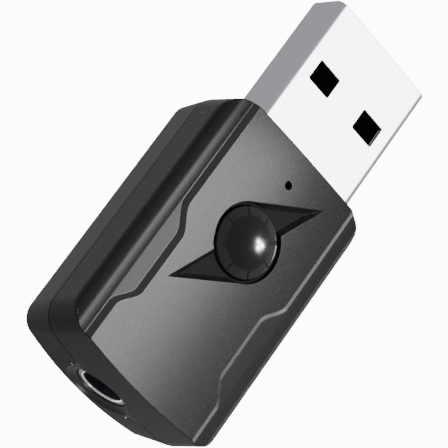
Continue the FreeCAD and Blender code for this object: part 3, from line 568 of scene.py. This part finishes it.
def dish_rows(surface, path):
    """The recess's polished dish, from its rounded rim in to the chrome ring."""
    rows = []
    for spot, outer in zip(path, inset(path, -SEAM_ROUND)):
        corner = surface(*spot)[0]
        start, normal = surface(*outer)
        angle = math.atan2(spot[1] - DISH_MIDDLE, spot[0])
        floor = Vector((DISH_FLOOR, DISH_FLOOR_RADIUS * math.cos(angle),
                        JACK_HEIGHT + DISH_FLOOR_RADIUS * math.sin(angle)))
        bowl = corner.lerp(floor, DISH_BEND) + Vector((DISH_SINK, 0, 0))
        lip = corner.lerp(bowl, DISH_LIP)
        around = Vector((0, -math.sin(angle), math.cos(angle)))
        wall = towards_jack((bowl - corner).cross(around))
        flat = towards_jack((floor - bowl).cross(around))
        row = [(start, normal)]
        row += bend(start, corner, lip, normal, wall, LIP_SHARES)
        row += bend(lip, bowl, floor, wall, flat, BOWL_SHARES)
        row.append((floor + Vector((DISH_SLEEVE, 0, 0)), (corner - floor).normalized()))
        rows.append(row)
    return columns_of(rows)


def wall_rows(spans, upper):
    """Rows of the side wall; spans are (s, lowest, highest)."""
    rows = []
    for share in steps(0, 1, WALL_STEPS):
        row = []
        for s, low, high in spans:
            z = low + (high - low) * share
            row.append((wall_point(s, z), wall_normal(s, z, upper)))
        rows.append(row)
    return rows


def parting_rows(values, z, way):
    """The rounded edge at the parting line; way is +1 for the cover and -1 for the base."""
    side = Vector((0, 0, -way))
    rows = []
    for s in values:
        corner, normal = wall_point(s, z), wall_normal(s, z, way > 0)
        start, low = wall_point(s, z + way * SEAM_ROUND), corner - normal * SEAM_ROUND
        row = bend(start, corner, low, normal, side, ROUND_SHARES)
        rows.append(row + [(corner - normal * SEAM_DEPTH, side)])
    return columns_of(rows)


def rim_rows(values):
    """The rounded edge between the top and the side wall, and the top's inset outline."""
    rows, outline = [], []
    for s in values:
        z = rim_height(s)
        corner, wall = wall_point(s, z), wall_normal(s, z, True)
        outwards = Vector((wall.x, wall.y, 0)).normalized()
        inner = tuple((corner - outwards * RIM_ROUND).xy)
        top, top_way = top_surface(*inner)
        low = wall_point(s, z - RIM_ROUND)
        rows.append(bend(top, corner, low, top_way, wall, steps(0, 1, 5)))
        outline.append(inner)
    return columns_of(rows), outline


def ridge_lines():
    """Lines that the top's faces follow along the raised top's walls and the shoulders."""
    xs = steps(PLUG_END + 1, JACK_END - 1, 220)
    offsets = [sign * RIDGE_WALL + shift for sign in (-1, 1) for shift in (-EDGE, 0, EDGE)]
    levels = [SHOULDER - EDGE, SHOULDER, SHOULDER + EDGE] + steps(*SHOULDER_LINES, 12)
    lines = []
    for side in (1, -1):
        for offset in offsets:
            lines.append([(x, side * (ridge_at(x) + offset)) for x in xs])
        for y in levels:
            lines.append([(x, side * y) for x in xs[::6]])
    return lines


def recess_lines():
    """Lines that the top's faces follow round the button's recess and along its blades."""
    lines = []
    for radius in (RECESS_RADIUS + EDGE, RECESS_RADIUS, RECESS_RADIUS - EDGE):
        angles = steps(0, 2 * math.pi, 96)
        lines.append([tuple(polar(BUTTON.x, 0, radius, a).xy) for a in angles])
    for wing in BLADE_EDGES:
        for (tip, far), (_, other) in (wing, wing[::-1]):
            along = (far - tip).normalized()
            across = Vector((-along.y, along.x, 0))
            across = across if across.dot(other - tip) > 0 else -across
            for shift in (-EDGE, 0, EDGE, BLADE_SLOPE):
                start = tip - along * BLADE_OVERRUN + across * shift
                end = far + across * shift
                lines.append([tuple(start.lerp(end, t).xy) for t in steps(0, 1, 24)])
    return lines


# material slots of the cover; the base has the first two
PAINT_SLOT, DISH_SLOT, RECESS_SHADE_SLOT, RIDGE_SLOT, OUTER_SHADE_SLOT, LEDGE_SLOT = range(6)


def top_slot(spot):
    """The material slot of the top's face whose middle is spot."""
    side, ridge = abs(spot[1]), ridge_at(spot[0])
    # the outer band takes a duller copy of the cover's paint: painted shade and light
    if side > OUTER_BAND:
        return OUTER_SHADE_SLOT
    if abs(side - ridge) < RIDGE_WALL + EDGE:
        return RIDGE_SLOT
    if side > ridge:
        return LEDGE_SLOT
    # faces sunk below the top, the walls of the button's recess and its wings, take the near
    # black material: painted shade
    return RECESS_SHADE_SLOT if top_height(*spot) < TOP - BELOW_TOP else PAINT_SLOT


def below_floor(spot):
    """True inside the recess, where the bezel is the floor."""
    return abs(spot[1]) < RIDGE and top_height(*spot) < RECESS_FLOOR + ABOVE_FLOOR


def jack_seam(z, tab):
    """The +Y half of the seam at the jack end: along height z, then down the tab's curve."""
    side = wall_point(JACK_STRETCH, z).y
    return [(y, z) for y in steps(side, TAB_ROOT, 12)][:-1] + tab


def jack_face(skin, surface, seam, arch, edge, way):
    """The jack end of one half, with its seam and its share of the dish.

    arch is the recess's outline, edge the wall's outline away from the seam, and way is +1
    for the cover and -1 for the base.
    """
    round_in = -way * SEAM_ROUND
    other_seam = [(-y, z) for y, z in seam[::-1]]
    loop = inset(seam, round_in) + inset(arch, round_in) + inset(other_seam, round_in)
    skin.fill(surface, [loop + edge[::-1]], [], END_SPACING)
    for line in (seam, other_seam):
        skin.grid(edge_rows(surface, line, round_in, SEAM_DEPTH))
    skin.grid(dish_rows(surface, arch[::way]), slot=DISH_SLOT)


def make_top(skin):
    """The cover's rounded rim, its top and the pinhole."""
    rim, outline = rim_rows(walk(0, 8))
    skin.grid(rim)
    angles = steps(0, 2 * math.pi, 32)[:-1]
    pin = [tuple(polar(PINHOLE.x, 0, PINHOLE_RADIUS, a).xy) for a in angles]
    pin_outside = inset(pin, -EDGE, closed=True)
    skin.fill(top_surface, [outline[:-1], pin_outside], ridge_lines() + recess_lines(),
              TOP_SPACING, slot_at=top_slot, skip=below_floor)
    skin.grid(edge_rows(top_surface, pin + pin[:1], -EDGE, SEAM_DEPTH))


def make_cover(materials):
    """The upper half of the case."""
    skin = Skin()
    make_top(skin)
    low_edge = SPLIT + PARTING_GAP
    sides = walk(JACK_STRETCH + 1, JACK_STRETCH + 8)
    spans = [(s, low_edge + SEAM_ROUND, rim_height(s) - RIM_ROUND) for s in sides]
    skin.grid(wall_rows(spans, True))
    skin.grid(parting_rows(sides, low_edge, 1))
    edge = []
    for s in walk(JACK_STRETCH, JACK_STRETCH + 1):
        z = rim_height(s) - RIM_ROUND
        edge.append((wall_point(s, z).y, z))
    arch = recess_arch(TAB_ANGLE, math.pi - TAB_ANGLE)
    jack_face(skin, cover_wall, jack_seam(low_edge, tab_curve(-TAB_GAP)), arch, edge, 1)
    return skin.build("cover_skin", materials)


def foot_rows(values):
    """The base's rounded lower edge."""
    rows = []
    for s in values:
        start, corner, end = (wall_point(s, z) for z in (FOOT, FOOT * FOOT_BEND, 0))
        normal = wall_normal(s, 1.0, False)
        rows.append(bend(start, corner, end, normal, Vector((0, 0, -1)), ROUND_SHARES))
    return columns_of(rows)


def sole_surface(x, y):
    """The base's flat underside as a surface of x and y."""
    return Vector((x, y, 0)), Vector((0, 0, -1))


def make_base(materials):
    """The lower half of the case."""
    skin = Skin()
    high_edge = SPLIT - PARTING_GAP
    sides, around = walk(JACK_STRETCH + 1, JACK_STRETCH + 8), walk(0, 8)
    skin.grid(wall_rows([(s, FOOT, high_edge - SEAM_ROUND) for s in sides], False))
    skin.grid(parting_rows(sides, high_edge, -1))
    skin.grid(foot_rows(around))
    sole = [tuple(wall_point(s, 0).xy) for s in around[:-1]]
    skin.fill(sole_surface, [sole], [], SOLE_SPACING)
    edge = [(wall_point(s, FOOT).y, FOOT) for s in walk(JACK_STRETCH, JACK_STRETCH + 1)]
    tab = [(y, min(z, high_edge)) for y, z in tab_curve(TAB_GAP)]
    arch = recess_arch(TAB_ANGLE, -math.pi - TAB_ANGLE)
    jack_face(skin, base_wall, jack_seam(high_edge, tab), arch, edge, -1)
    return skin.build("base_skin", materials)


# ---- USB plug --------------------------------------------------------------------------
PLUG_MIDDLE = (PLUG_LOW.z + PLUG_HIGH.z) / 2
PLUG_HALF_WIDTH = PLUG_HIGH.y
PLUG_HALF_HEIGHT = (PLUG_HIGH.z - PLUG_LOW.z) / 2
PLUG_ROUND = 0.78
PLUG_SHEET = 0.3
PLUG_REAR = 4.75
WINDOW_FRONT = 13.55
WINDOW_LENGTH = 2.0
WINDOW_HALF_WIDTH = 1.25
WINDOW_PLACE = 3.0
WINDOW_CORNER = 0.12
WINDOW_RIM = 0.06
TIP_ROUND = 0.12
TIP_FACE = 0.4
TIP_LIP = 0.02
TIP_DEPTH = 0.1
FOLD_GAP = 0.02
PLUG_SPACING = 0.9


def section_lengths(shrink):
    """Lengths of the section's half flat, corner arc, side and half way round."""
    corner = PLUG_ROUND - shrink
    flat, side = PLUG_HALF_WIDTH - shrink - corner, 2 * (PLUG_HALF_HEIGHT - shrink - corner)
    turn = corner * math.pi / 2
    return flat, turn, side, 2 * flat + side + 2 * turn


def tube_section(distance, shrink):
    """A point of the plug's section and its normal; distance runs round from the top's middle."""
    half_width, half_height = PLUG_HALF_WIDTH - shrink, PLUG_HALF_HEIGHT - shrink
    corner = PLUG_ROUND - shrink
    flat, turn, side, half = section_lengths(shrink)
    way = 1 if distance >= 0 else -1
    along = abs(distance)
    if along <= flat:
        y, z, ny, nz = along, half_height, 0.0, 1.0
    elif along <= flat + turn:
        angle = (along - flat) / corner
        ny, nz = math.sin(angle), math.cos(angle)
        y, z = flat + corner * ny, half_height - corner + corner * nz
    elif along <= flat + turn + side:
        y, z, ny, nz = half_width, half_height - corner - (along - flat - turn), 1.0, 0.0
    elif along <= half - flat:
        angle = (along - flat - turn - side) / corner
        ny, nz = math.cos(angle), -math.sin(angle)
        y, z = flat + corner * ny, -half_height + corner + corner * nz
    else:
        y, z, ny, nz = half - along, -half_height, 0.0, -1.0
    return Vector((0, way * y, PLUG_MIDDLE + z)), Vector((0, way * ny, nz))


def at_x(point, x):
    """A point moved along the plug to x."""
    return Vector((x, point.y, point.z))


def tube_surface(x, distance):
    """The plug's outer face as a surface of x and the distance round its section."""
    point, normal = tube_section(distance, 0)
    return at_x(point, x), normal


def rounded_window(middle_distance):
    """A latch hole's outline in (x, distance round the section)."""
    path = []
    x_middle = WINDOW_FRONT - WINDOW_LENGTH / 2
    for quarter in range(4):
        centre_x = (WINDOW_LENGTH / 2 - WINDOW_CORNER) * (1 if quarter in (0, 3) else -1)
        centre_d = (WINDOW_HALF_WIDTH - WINDOW_CORNER) * (1 if quarter in (0, 1) else -1)
        for angle in steps(quarter * math.pi / 2, (quarter + 1) * math.pi / 2, 5):
            path.append((x_middle + centre_x + WINDOW_CORNER * math.cos(angle),
                         middle_distance + centre_d + WINDOW_CORNER * math.sin(angle)))
    return path


def plug_corner_lines():
    """Lines along the plug that the faces of its rounded corners follow."""
    flat, turn, side, _ = section_lengths(0)
    lines = []
    for sign in (1, -1):
        for start in (flat, flat + turn + side):
            for d in steps(start, start + turn, 12):
                lines.append([(PLUG_REAR, sign * d), (PLUG_HIGH.x, sign * d)])
    return lines


def tip_pairs(distance):
    """(point, normal) pairs over the plug's rounded tip, from its outer to its inner face."""
    outer, normal = tube_section(distance, 0)
    share = distance / section_lengths(0)[-1]
    inner = tube_section(share * section_lengths(PLUG_SHEET)[-1], PLUG_SHEET)[0]
    tip, ahead = PLUG_HIGH.x, Vector((1, 0, 0))
    start, corner = at_x(outer, tip - TIP_ROUND), at_x(outer, tip)
    face = at_x(corner.lerp(inner, TIP_FACE), tip)
    pairs = bend(start, corner, face, normal, ahead, ROUND_SHARES)
    pairs.append((at_x(inner, tip - TIP_LIP), (ahead - normal).normalized()))
    pairs.append((at_x(inner, tip - TIP_DEPTH), -normal))
    return pairs


def make_inner_face(skin, edge):
    """The shell's inner face behind the tip's last pairs, left open at each latch hole."""
    flat_height = PLUG_HALF_HEIGHT - PLUG_SHEET - 0.05
    stops = [PLUG_HIGH.x - TIP_DEPTH, WINDOW_FRONT, WINDOW_FRONT - WINDOW_LENGTH, PLUG_REAR]
    for front, back in zip(stops, stops[1:]):
        for here, ahead in zip(edge, edge[1:]):
            off_centre = abs(abs(here[0].y + ahead[0].y) / 2 - WINDOW_PLACE)
            flat = abs(here[0].z - PLUG_MIDDLE) > flat_height
            if front == WINDOW_FRONT and flat and off_centre < WINDOW_HALF_WIDTH:
                continue
            corners = [(here, front), (ahead, front), (ahead, back), (here, back)]
            skin.face([skin.add(at_x(point, x), normal) for (point, normal), x in corners])


def make_plug(material):
    """The plug's shell: its outer face with four latch holes, its tip and its inner face."""
    skin = Skin()
    half = section_lengths(0)[-1]
    around = steps(-half + FOLD_GAP, half - FOLD_GAP, 240)
    outline = [(PLUG_REAR, d) for d in around[::-1]]
    outline += [(PLUG_HIGH.x - TIP_ROUND, d) for d in around]
    places = (WINDOW_PLACE, -WINDOW_PLACE, half - WINDOW_PLACE, WINDOW_PLACE - half)
    windows = [rounded_window(place) for place in places]
    holes = [inset(window, -WINDOW_RIM, closed=True) for window in windows]
    skin.fill(tube_surface, [outline] + holes, plug_corner_lines(), PLUG_SPACING)
    for window in windows:
        skin.grid(edge_rows(tube_surface, window + window[:1], -WINDOW_RIM, PLUG_SHEET))
    tip = [tip_pairs(distance) for distance in around]
    skin.grid(columns_of(tip))
    make_inner_face(skin, [pairs[-1] for pairs in tip])
    return skin.build("plug_shell", [material])


# ---- turned pieces: button and chrome ring ----------------------------------------------
CAP_RADIUS = 3.0
DOME_RADIUS = 2.2
DOME_FOOT = CAP_HIGH.z - 0.46
RIM_SLOPE = 0.35
RIM_BLEND = 0.05
CAP_ROUND = 0.14
SKIRT = (CAP_LOW.z + 1.0, CAP_LOW.z + 0.75)
TICK_COUNT = 8
TICK_TURN = math.radians(-4)
TICK_START = 2.1
TICK_FADE = 0.15
TICK_WIDTH = 0.11
TICK_DEPTH = 0.14
BORE_RADIUS = 1.8
BORE_DEPTH = 0.4
LIP_WIDTH = 0.14
LIP_GROOVE = (0.02, 0.005)
NOSE_ROUND = 0.16
NOSE_EDGE = 0.22


def cap_height(radius):
    """The dome's sphere, blended into the nearly flat rim round it."""
    rise = CAP_HIGH.z - DOME_FOOT
    sphere = (DOME_RADIUS ** 2 + rise ** 2) / (2 * rise)
    dome = CAP_HIGH.z - sphere + math.sqrt(sphere ** 2 - radius ** 2)
    rim = DOME_FOOT - RIM_SLOPE * max(radius - DOME_RADIUS, 0.0)
    return (dome + rim + math.hypot(dome - rim, RIM_BLEND)) / 2


def cap_profile():
    """The button's outline from its crown to its skirt, as (radius, height) pairs."""
    spare = cap_height(0) - CAP_HIGH.z
    radii = [0.001] + steps(0.1, CAP_RADIUS - CAP_ROUND, 44)
    points = [(radius, cap_height(radius) - spare) for radius in radii]
    last = points[-1][1]
    for angle in steps(0.2, math.pi / 2, 6):
        points.append((CAP_RADIUS - CAP_ROUND * (1 - math.sin(angle)),
                       last - CAP_ROUND * (1 - math.cos(angle))))
    return points + [(CAP_RADIUS, height) for height in SKIRT]


def make_button(crown, ring):
    """The cap: a dome on a rim that carries short radial grooves."""
    profile = cap_profile()
    angles = steps(0, 2 * math.pi, 240)[:-1]
    rows = [[cap_point(radius, height, a) for a in angles] for radius, height in profile]
    slots = [int(radius >= DOME_RADIUS) for radius, _ in profile[:-1]]
    return turned("button_dome", rows, [crown, ring], slots)


def cap_point(radius, height, angle):
    """The cap's point at a radius and an angle, sunk where it lies in a groove."""
    spacing = 2 * math.pi / TICK_COUNT
    off = (angle - TICK_TURN + spacing / 2) % spacing - spacing / 2
    across = abs(off) * radius / TICK_WIDTH
    along = ease((radius - TICK_START) / TICK_FADE)
    dip = TICK_DEPTH * max(0.0, 1 - across) * along
    return polar(BUTTON.x, 0, radius, angle) + Vector((0, 0, height - dip))


def turned(name, rows, materials, slots):
    """Closed rings of points as a mesh; slots gives the material of each band between two."""
    mesh = bpy.data.meshes.new(name)
    count = len(rows[0])
    faces = []
    for low in range(len(rows) - 1):
        for i in range(count):
            j = (i + 1) % count
            faces.append((low * count + i, (low + 1) * count + i,
                          (low + 1) * count + j, low * count + j))
    mesh.from_pydata([point * MM for row in rows for point in row], [], faces)
    for material in materials:
        mesh.materials.append(material)
    mesh.polygons.foreach_set("material_index", [slot for slot in slots for _ in range(count)])
    mesh.polygons.foreach_set("use_smooth", [True] * len(faces))
    mesh.update()
    piece = bpy.data.objects.new(name, mesh)
    bpy.context.scene.collection.objects.link(piece)
    return piece


def make_jack_ring(nose, chrome):
    """The jack's nose: a dark face round a chrome lip, and the start of the bore."""
    outer, face = RING_HIGH.y, RING_LOW.x
    groove_width, groove_depth = LIP_GROOVE
    quarter = steps(0, math.pi / 2, 6)
    dark = [(outer, RING_HIGH.x), (outer, face + NOSE_EDGE)]
    for angle in quarter:
        dark.append((outer - NOSE_ROUND + NOSE_ROUND * math.cos(angle),
                     face + NOSE_ROUND - NOSE_ROUND * math.sin(angle)))
    dark.append((BORE_RADIUS + LIP_WIDTH + groove_width, face + groove_depth))
    bright = [(BORE_RADIUS + LIP_WIDTH * (1 - math.sin(angle)),
               face + LIP_WIDTH * (1 - math.cos(angle))) for angle in quarter]
    bright += [(BORE_RADIUS, face + BORE_DEPTH), (BORE_RADIUS, RING_HIGH.x)]
    rows = []
    for radius, x in dark + bright:
        rows.append([Vector((x, radius * math.cos(a), JACK_HEIGHT + radius * math.sin(a)))
                     for a in steps(0, 2 * math.pi, 128)[:-1]])
    slots = [0] * (len(dark) - 1) + [1] * len(bright)
    return turned("jack_ring_chrome", rows[::-1], [nose, chrome], slots[::-1])


# ---- materials -------------------------------------------------------------------------
def new_material(name, color, roughness, metallic=0.0, coat=0.0, specular=0.5):
    """A Principled material with plain values."""
    material = bpy.data.materials.new(name)
    material.use_nodes = True
    shader = material.node_tree.nodes["Principled BSDF"]
    shader.inputs["Base Color"].default_value = (*color, 1)
    shader.inputs["Roughness"].default_value = roughness
    shader.inputs["Metallic"].default_value = metallic
    shader.inputs["Coat Weight"].default_value = coat
    shader.inputs["Specular IOR Level"].default_value = specular
    return material


def texture(material, kind, scale, **settings):
    """A procedural texture in the object's own coordinates; scale is features per millimetre."""
    tree = material.node_tree
    place = tree.nodes.new("ShaderNodeTexCoord")
    node = tree.nodes.new(kind)
    tree.links.new(place.outputs["Object"], node.inputs["Vector"])
    node.inputs["Scale"].default_value = scale / MM
    for name, value in settings.items():
        node.inputs[name].default_value = value
    return node


def remap(tree, source, low, high):
    """Stretches a texture's middle values over low to high."""
    node = tree.nodes.new("ShaderNodeMapRange")
    for name, value in (("From Min", 0.3), ("From Max", 0.7), ("To Min", low), ("To Max", high)):
        node.inputs[name].default_value = value
    tree.links.new(source, node.inputs["Value"])
    return node.outputs["Result"]


def vary(material, source, color, spread, roughness, bump=0.0, bump_reach=0.0):
    """Lets a texture vary colour, roughness and height; bump_reach is in millimetres."""
    tree = material.node_tree
    shader = tree.nodes["Principled BSDF"]
    mix = tree.nodes.new("ShaderNodeMix")
    mix.data_type = "RGBA"
    tree.links.new(remap(tree, source, 0.0, 1.0), mix.inputs["Factor"])
    mix.inputs["A"].default_value = (*[c * (1 - spread) for c in color], 1)
    mix.inputs["B"].default_value = (*[min(c * (1 + spread), 1) for c in color], 1)
    tree.links.new(mix.outputs["Result"], shader.inputs["Base Color"])
    tree.links.new(remap(tree, source, *roughness), shader.inputs["Roughness"])
    if bump:
        relief = tree.nodes.new("ShaderNodeBump")
        relief.inputs["Strength"].default_value = bump
        relief.inputs["Distance"].default_value = bump_reach * MM
        tree.links.new(source, relief.inputs["Height"])
        tree.links.new(relief.outputs["Normal"], shader.inputs["Normal"])


def gunmetal(name, color, roughness, spread=0.3, bump=0.12, specular=0.1):
    """Satin paint over moulded plastic, with a fine grain of flakes."""
    material = new_material(name, color, roughness, specular=specular)
    grain = texture(material, "ShaderNodeTexNoise", 14.0, Detail=2.0, Roughness=0.6)
    vary(material, grain.outputs["Fac"], color, spread, (roughness - 0.05, roughness + 0.07),
         bump, 0.015)
    return material


def speckled(name, color, roughness, scale=1.5, spread=0.12, **shader):
    """Moulded or fired surfaces: a faint mottle in colour and gloss."""
    material = new_material(name, color, roughness, **shader)
    mottle = texture(material, "ShaderNodeTexNoise", scale, Detail=4.0, Roughness=0.55)
    vary(material, mottle.outputs["Fac"], color, spread, (roughness * 0.85, roughness * 1.15),
         0.05, 0.01)
    return material


def brushed(name, color, roughness, stretch=(0.4, 12.0, 12.0)):
    """Rolled or plated metal; an uneven stretch draws its texture out into faint lines."""
    material = new_material(name, color, roughness, metallic=1.0)
    tree = material.node_tree
    lines = texture(material, "ShaderNodeTexNoise", 1.0, Detail=3.0, Roughness=0.5)
    mapping = tree.nodes.new("ShaderNodeMapping")
    mapping.inputs["Scale"].default_value = stretch
    place = lines.inputs["Vector"].links[0].from_socket
    tree.links.new(place, mapping.inputs["Vector"])
    tree.links.new(mapping.outputs["Vector"], lines.inputs["Vector"])
    vary(material, lines.outputs["Fac"], color, 0.03, (roughness * 0.85, roughness * 1.2))
    return material


def circuit(name):
    """Green solder mask with paler tracks under it."""
    color = (0.006, 0.07, 0.03)
    material = new_material(name, color, 0.3, coat=0.3)
    tracks = texture(material, "ShaderNodeTexVoronoi", 0.9)
    tracks.distance = "CHEBYCHEV"
    vary(material, tracks.outputs["Distance"], color, 0.6, (0.25, 0.4), 0.1, 0.02)
    return material


COVER_PAINT = gunmetal("cover_paint", (0.009, 0.0086, 0.0081), 0.29, spread=0.4, specular=0.25)
BASE_PAINT = gunmetal("base_paint", (0.011, 0.011, 0.011), 0.36, spread=0.2, bump=0.06)
# painted shade and light: the cover's paint copied for the outer band, rougher and less glossy so
# its highlight fades, and a little paler in colour to lift the band
EDGE_PAINTED_SHADE = gunmetal("edge_painted_shade", (0.012, 0.0115, 0.011), 0.6)
NOTCH_GRAIN = gunmetal("notch_grain", (0.009, 0.0086, 0.0081), 0.36, spread=0.5, bump=0.25,
                       specular=0.17)
RIDGE_GLOSS = speckled("ridge_gloss", (0.012, 0.012, 0.012), 0.3, spread=0.05)
# the recess walls: the cover's paint made near black and less glossy, as painted shade in the
# recess
RECESS_WALL_SHADE = speckled("recess_wall_shade", (0.004, 0.004, 0.004), 0.4, specular=0.06)
DISH_GLOSS = speckled("dish_gloss", (0.01, 0.01, 0.011), 0.3, spread=0.05)
BEZEL_PLASTIC = speckled("bezel_plastic", (0.06, 0.058, 0.056), 0.4, scale=4.0, specular=0.1)
BLACK_GLOSS = speckled("black_gloss", (0.003, 0.003, 0.003), 0.16, spread=0.05)
RING_GLOSS = speckled("ring_gloss", (0.018, 0.018, 0.018), 0.2, spread=0.05, specular=0.25)
BLACK_NYLON = speckled("black_nylon", (0.002, 0.002, 0.002), 0.5, specular=0.01)
JACK_PLASTIC = speckled("jack_plastic", (0.04, 0.045, 0.06), 0.4)
BLACK_RESIN = speckled("black_resin", (0.02, 0.02, 0.021), 0.5, scale=8.0)
PLUG_METAL = brushed("plug_metal", (0.82, 0.84, 0.9), 0.24)
CHROME = brushed("chrome", (0.88, 0.88, 0.9), 0.08, stretch=(3.0, 3.0, 3.0))
PLATED_STEEL = brushed("plated_steel", (0.6, 0.6, 0.62), 0.3)
GOLD = brushed("gold_contact", (0.95, 0.7, 0.3), 0.22)
BOARD_GREEN = circuit("solder_mask")
CERAMIC = speckled("ceramic", (0.75, 0.75, 0.7), 0.35)
FERRITE = speckled("ferrite", (0.07, 0.07, 0.075), 0.6, scale=10.0, spread=0.3)
TANTALUM = speckled("tantalum", (0.6, 0.36, 0.04), 0.4)
TAN_CERAMIC = speckled("tan_ceramic", (0.4, 0.28, 0.16), 0.4)
SMOKED_LENS = speckled("smoked_lens", (0.006, 0.006, 0.008), 0.2)
LED_RESIN = speckled("led_resin", (0.75, 0.78, 0.7), 0.25)

NODE_MATERIALS = {
    BEZEL_PLASTIC: ("button_bezel",),
    BLACK_NYLON: ("usb_tongue", "switch_plunger"),
    JACK_PLASTIC: ("jack_housing",),
    BLACK_RESIN: ("bluetooth_chip", "memory_chip", "voltage_regulator", "chip_resistors",
                  "switch_base"),
    PLATED_STEEL: ("switch_frame", "switch_snap_dome", "crystal_oscillator"),
    GOLD: ("usb_contact_power", "usb_contact_data_minus", "usb_contact_data_plus",
           "usb_contact_ground", "jack_sleeve_spring", "jack_ring_spring", "jack_tip_spring"),
    BOARD_GREEN: ("circuit_board",),
    CERAMIC: ("chip_antenna",),
    FERRITE: ("power_inductor",),
    TANTALUM: ("audio_capacitors",),
    TAN_CERAMIC: ("chip_capacitors",),
    SMOKED_LENS: ("light_pipe",),
    LED_RESIN: ("status_led",),
}


def dress_nodes():
    """Gives every CAD node that stays visible its material."""
    for material, names in NODE_MATERIALS.items():
        for name in names:
            slots = NODES[name].data.materials
            if not slots:
                slots.append(material)
            for index in range(len(slots)):
                slots[index] = material


# ---- camera, floor and lights ------------------------------------------------------------
CAMERA_PLACE = Vector((-76.03, 89.28, 170.05))
CAMERA_RIGHT = Vector((0.5455, -0.61, 0.5747))
CAMERA_DOWN = Vector((-0.7518, -0.6592, 0.0139))
CAMERA_LENS = 197.2
CAMERA_SENSOR = 36.0
FLOOR_GLOW = 12.0
FLOOR_HALF = 4.0
WORLD_LIGHT = 0.4

# three round lamps that the button's dome mirrors; each spot is (across, down)
BULB_POWER = 0.25
BULB_SIZE = (16, 26)
BULB_MIDDLE = Vector((92, -130, 134))
BULB_ACROSS = Vector((0.45, -0.51, -0.73))
BULB_DOWN = Vector((-0.75, -0.66, 0.0))
BULB_SPOTS = ((-6, -13), (-9, 12), (20, 1))


def make_camera():
    """The photograph's camera; its clip distances are metres."""
    data = bpy.data.cameras.new("camera")
    data.lens = CAMERA_LENS
    data.sensor_width = CAMERA_SENSOR
    data.clip_start = 0.005
    data.clip_end = 20
    data.dof.use_dof = False
    camera = bpy.data.objects.new("camera", data)
    bpy.context.scene.collection.objects.link(camera)
    right, up = CAMERA_RIGHT.normalized(), -CAMERA_DOWN.normalized()
    back = right.cross(up)
    turn = Matrix((right, up, back)).transposed().to_4x4()
    camera.matrix_world = Matrix.Translation(CAMERA_PLACE * MM) @ turn
    bpy.context.scene.camera = camera


def make_floor():
    """A pale light table: it glows evenly and casts nothing back on the part."""
    size = FLOOR_HALF
    mesh = bpy.data.meshes.new("floor")
    corners = [(-size, -size, 0), (size, -size, 0), (size, size, 0), (-size, size, 0)]
    mesh.from_pydata(corners, [], [(0, 1, 2, 3)])
    material = new_material("floor_white", (0.9, 0.9, 0.9), 0.9, specular=0.1)
    glow = material.node_tree.nodes["Principled BSDF"].inputs
    glow["Emission Color"].default_value = (1, 1, 1, 1)
    glow["Emission Strength"].default_value = FLOOR_GLOW
    mesh.materials.append(material)
    floor = bpy.data.objects.new("floor", mesh)
    floor.visible_diffuse = False
    floor.visible_glossy = False
    floor.visible_shadow = False
    bpy.context.scene.collection.objects.link(floor)


def area_light(name, place, aim, size, power, shape="RECTANGLE", mirrored=True, only=()):
    """A soft lamp at place that faces aim, in millimetres, its width turned towards X.

    mirrored says whether glossy surfaces show it; only lists the pieces it lights, or none
    where it lights them all.
    """
    data = bpy.data.lights.new(name, "AREA")
    data.shape = shape
    data.size, data.size_y = size[0] * MM, size[1] * MM
    data.energy = power
    lamp = bpy.data.objects.new(name, data)
    bpy.context.scene.collection.objects.link(lamp)
    back = (Vector(place) - Vector(aim)).normalized()
    width = (Vector((1, 0, 0)) - back * back.x).normalized()
    turn = Matrix((width, back.cross(width), back)).transposed()
    lamp.matrix_world = Matrix.Translation(Vector(place) * MM) @ turn.to_4x4()
    lamp.visible_glossy = mirrored
    if only:
        receivers = bpy.data.collections.new(f"{name}_receivers")
        for piece in only:
            receivers.objects.link(piece)
        lamp.light_linking.receiver_collection = receivers


def make_world():
    """An even white surrounding."""
    world = bpy.data.worlds.new("studio")
    world.use_nodes = True
    background = world.node_tree.nodes["Background"]
    background.inputs["Color"].default_value = (1, 1, 1, 1)
    background.inputs["Strength"].default_value = WORLD_LIGHT
    bpy.context.scene.world = world


def make_light(cover, plug, ring, button):
    """Soft lamps, most of which light one piece only."""
    area_light("fill", (-370, 440, 820), (-4, 0, 5), (300, 300), 1.5, mirrored=False)
    area_light("under", (120, 240, -300), (-4, 0, 5), (150, 150), 6.5, mirrored=False)
    area_light("strip", (-13, -8, 40), (-27, 8, 9), (60, 14), 0.045, only=(cover,))
    area_light("side", (75, -258, 8), (-3, 0, 8), (220, 50), 0.2, only=(cover,))
    area_light("glint", (-240, -107, 30), (-19, 0, 3), (60, 60), 0.1)
    area_light("bounce", (-60, -20, -115), (-22, 0, 5), (160, 160), 0.1, only=(ring,))
    area_light("softbox", (215, -255, 480), (8, 0, 9), (350, 350), 3.4, only=(plug,))
    for index, (right, low) in enumerate(BULB_SPOTS):
        spot = BULB_MIDDLE + BULB_ACROSS * right + BULB_DOWN * low
        area_light(f"bulb_{index}", spot, BUTTON, BULB_SIZE, BULB_POWER, "ELLIPSE",
                   only=(button,))


make_camera()
make_floor()
make_world()
dress_nodes()

cover = make_cover([COVER_PAINT, DISH_GLOSS, RECESS_WALL_SHADE, RIDGE_GLOSS, EDGE_PAINTED_SHADE,
                    NOTCH_GRAIN])
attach(cover, "housing")
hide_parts("upper_cover")

base = make_base([BASE_PAINT, DISH_GLOSS])
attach(base, "housing")
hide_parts("lower_case")

plug = make_plug(PLUG_METAL)
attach(plug, "housing")
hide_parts("usb_shell")

ring = make_jack_ring(DISH_GLOSS, CHROME)
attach(ring, "housing")
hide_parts("jack_ring")

button = make_button(BLACK_GLOSS, RING_GLOSS)
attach(button, "button")
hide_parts("button_cap")

make_light(cover, plug, ring, button)
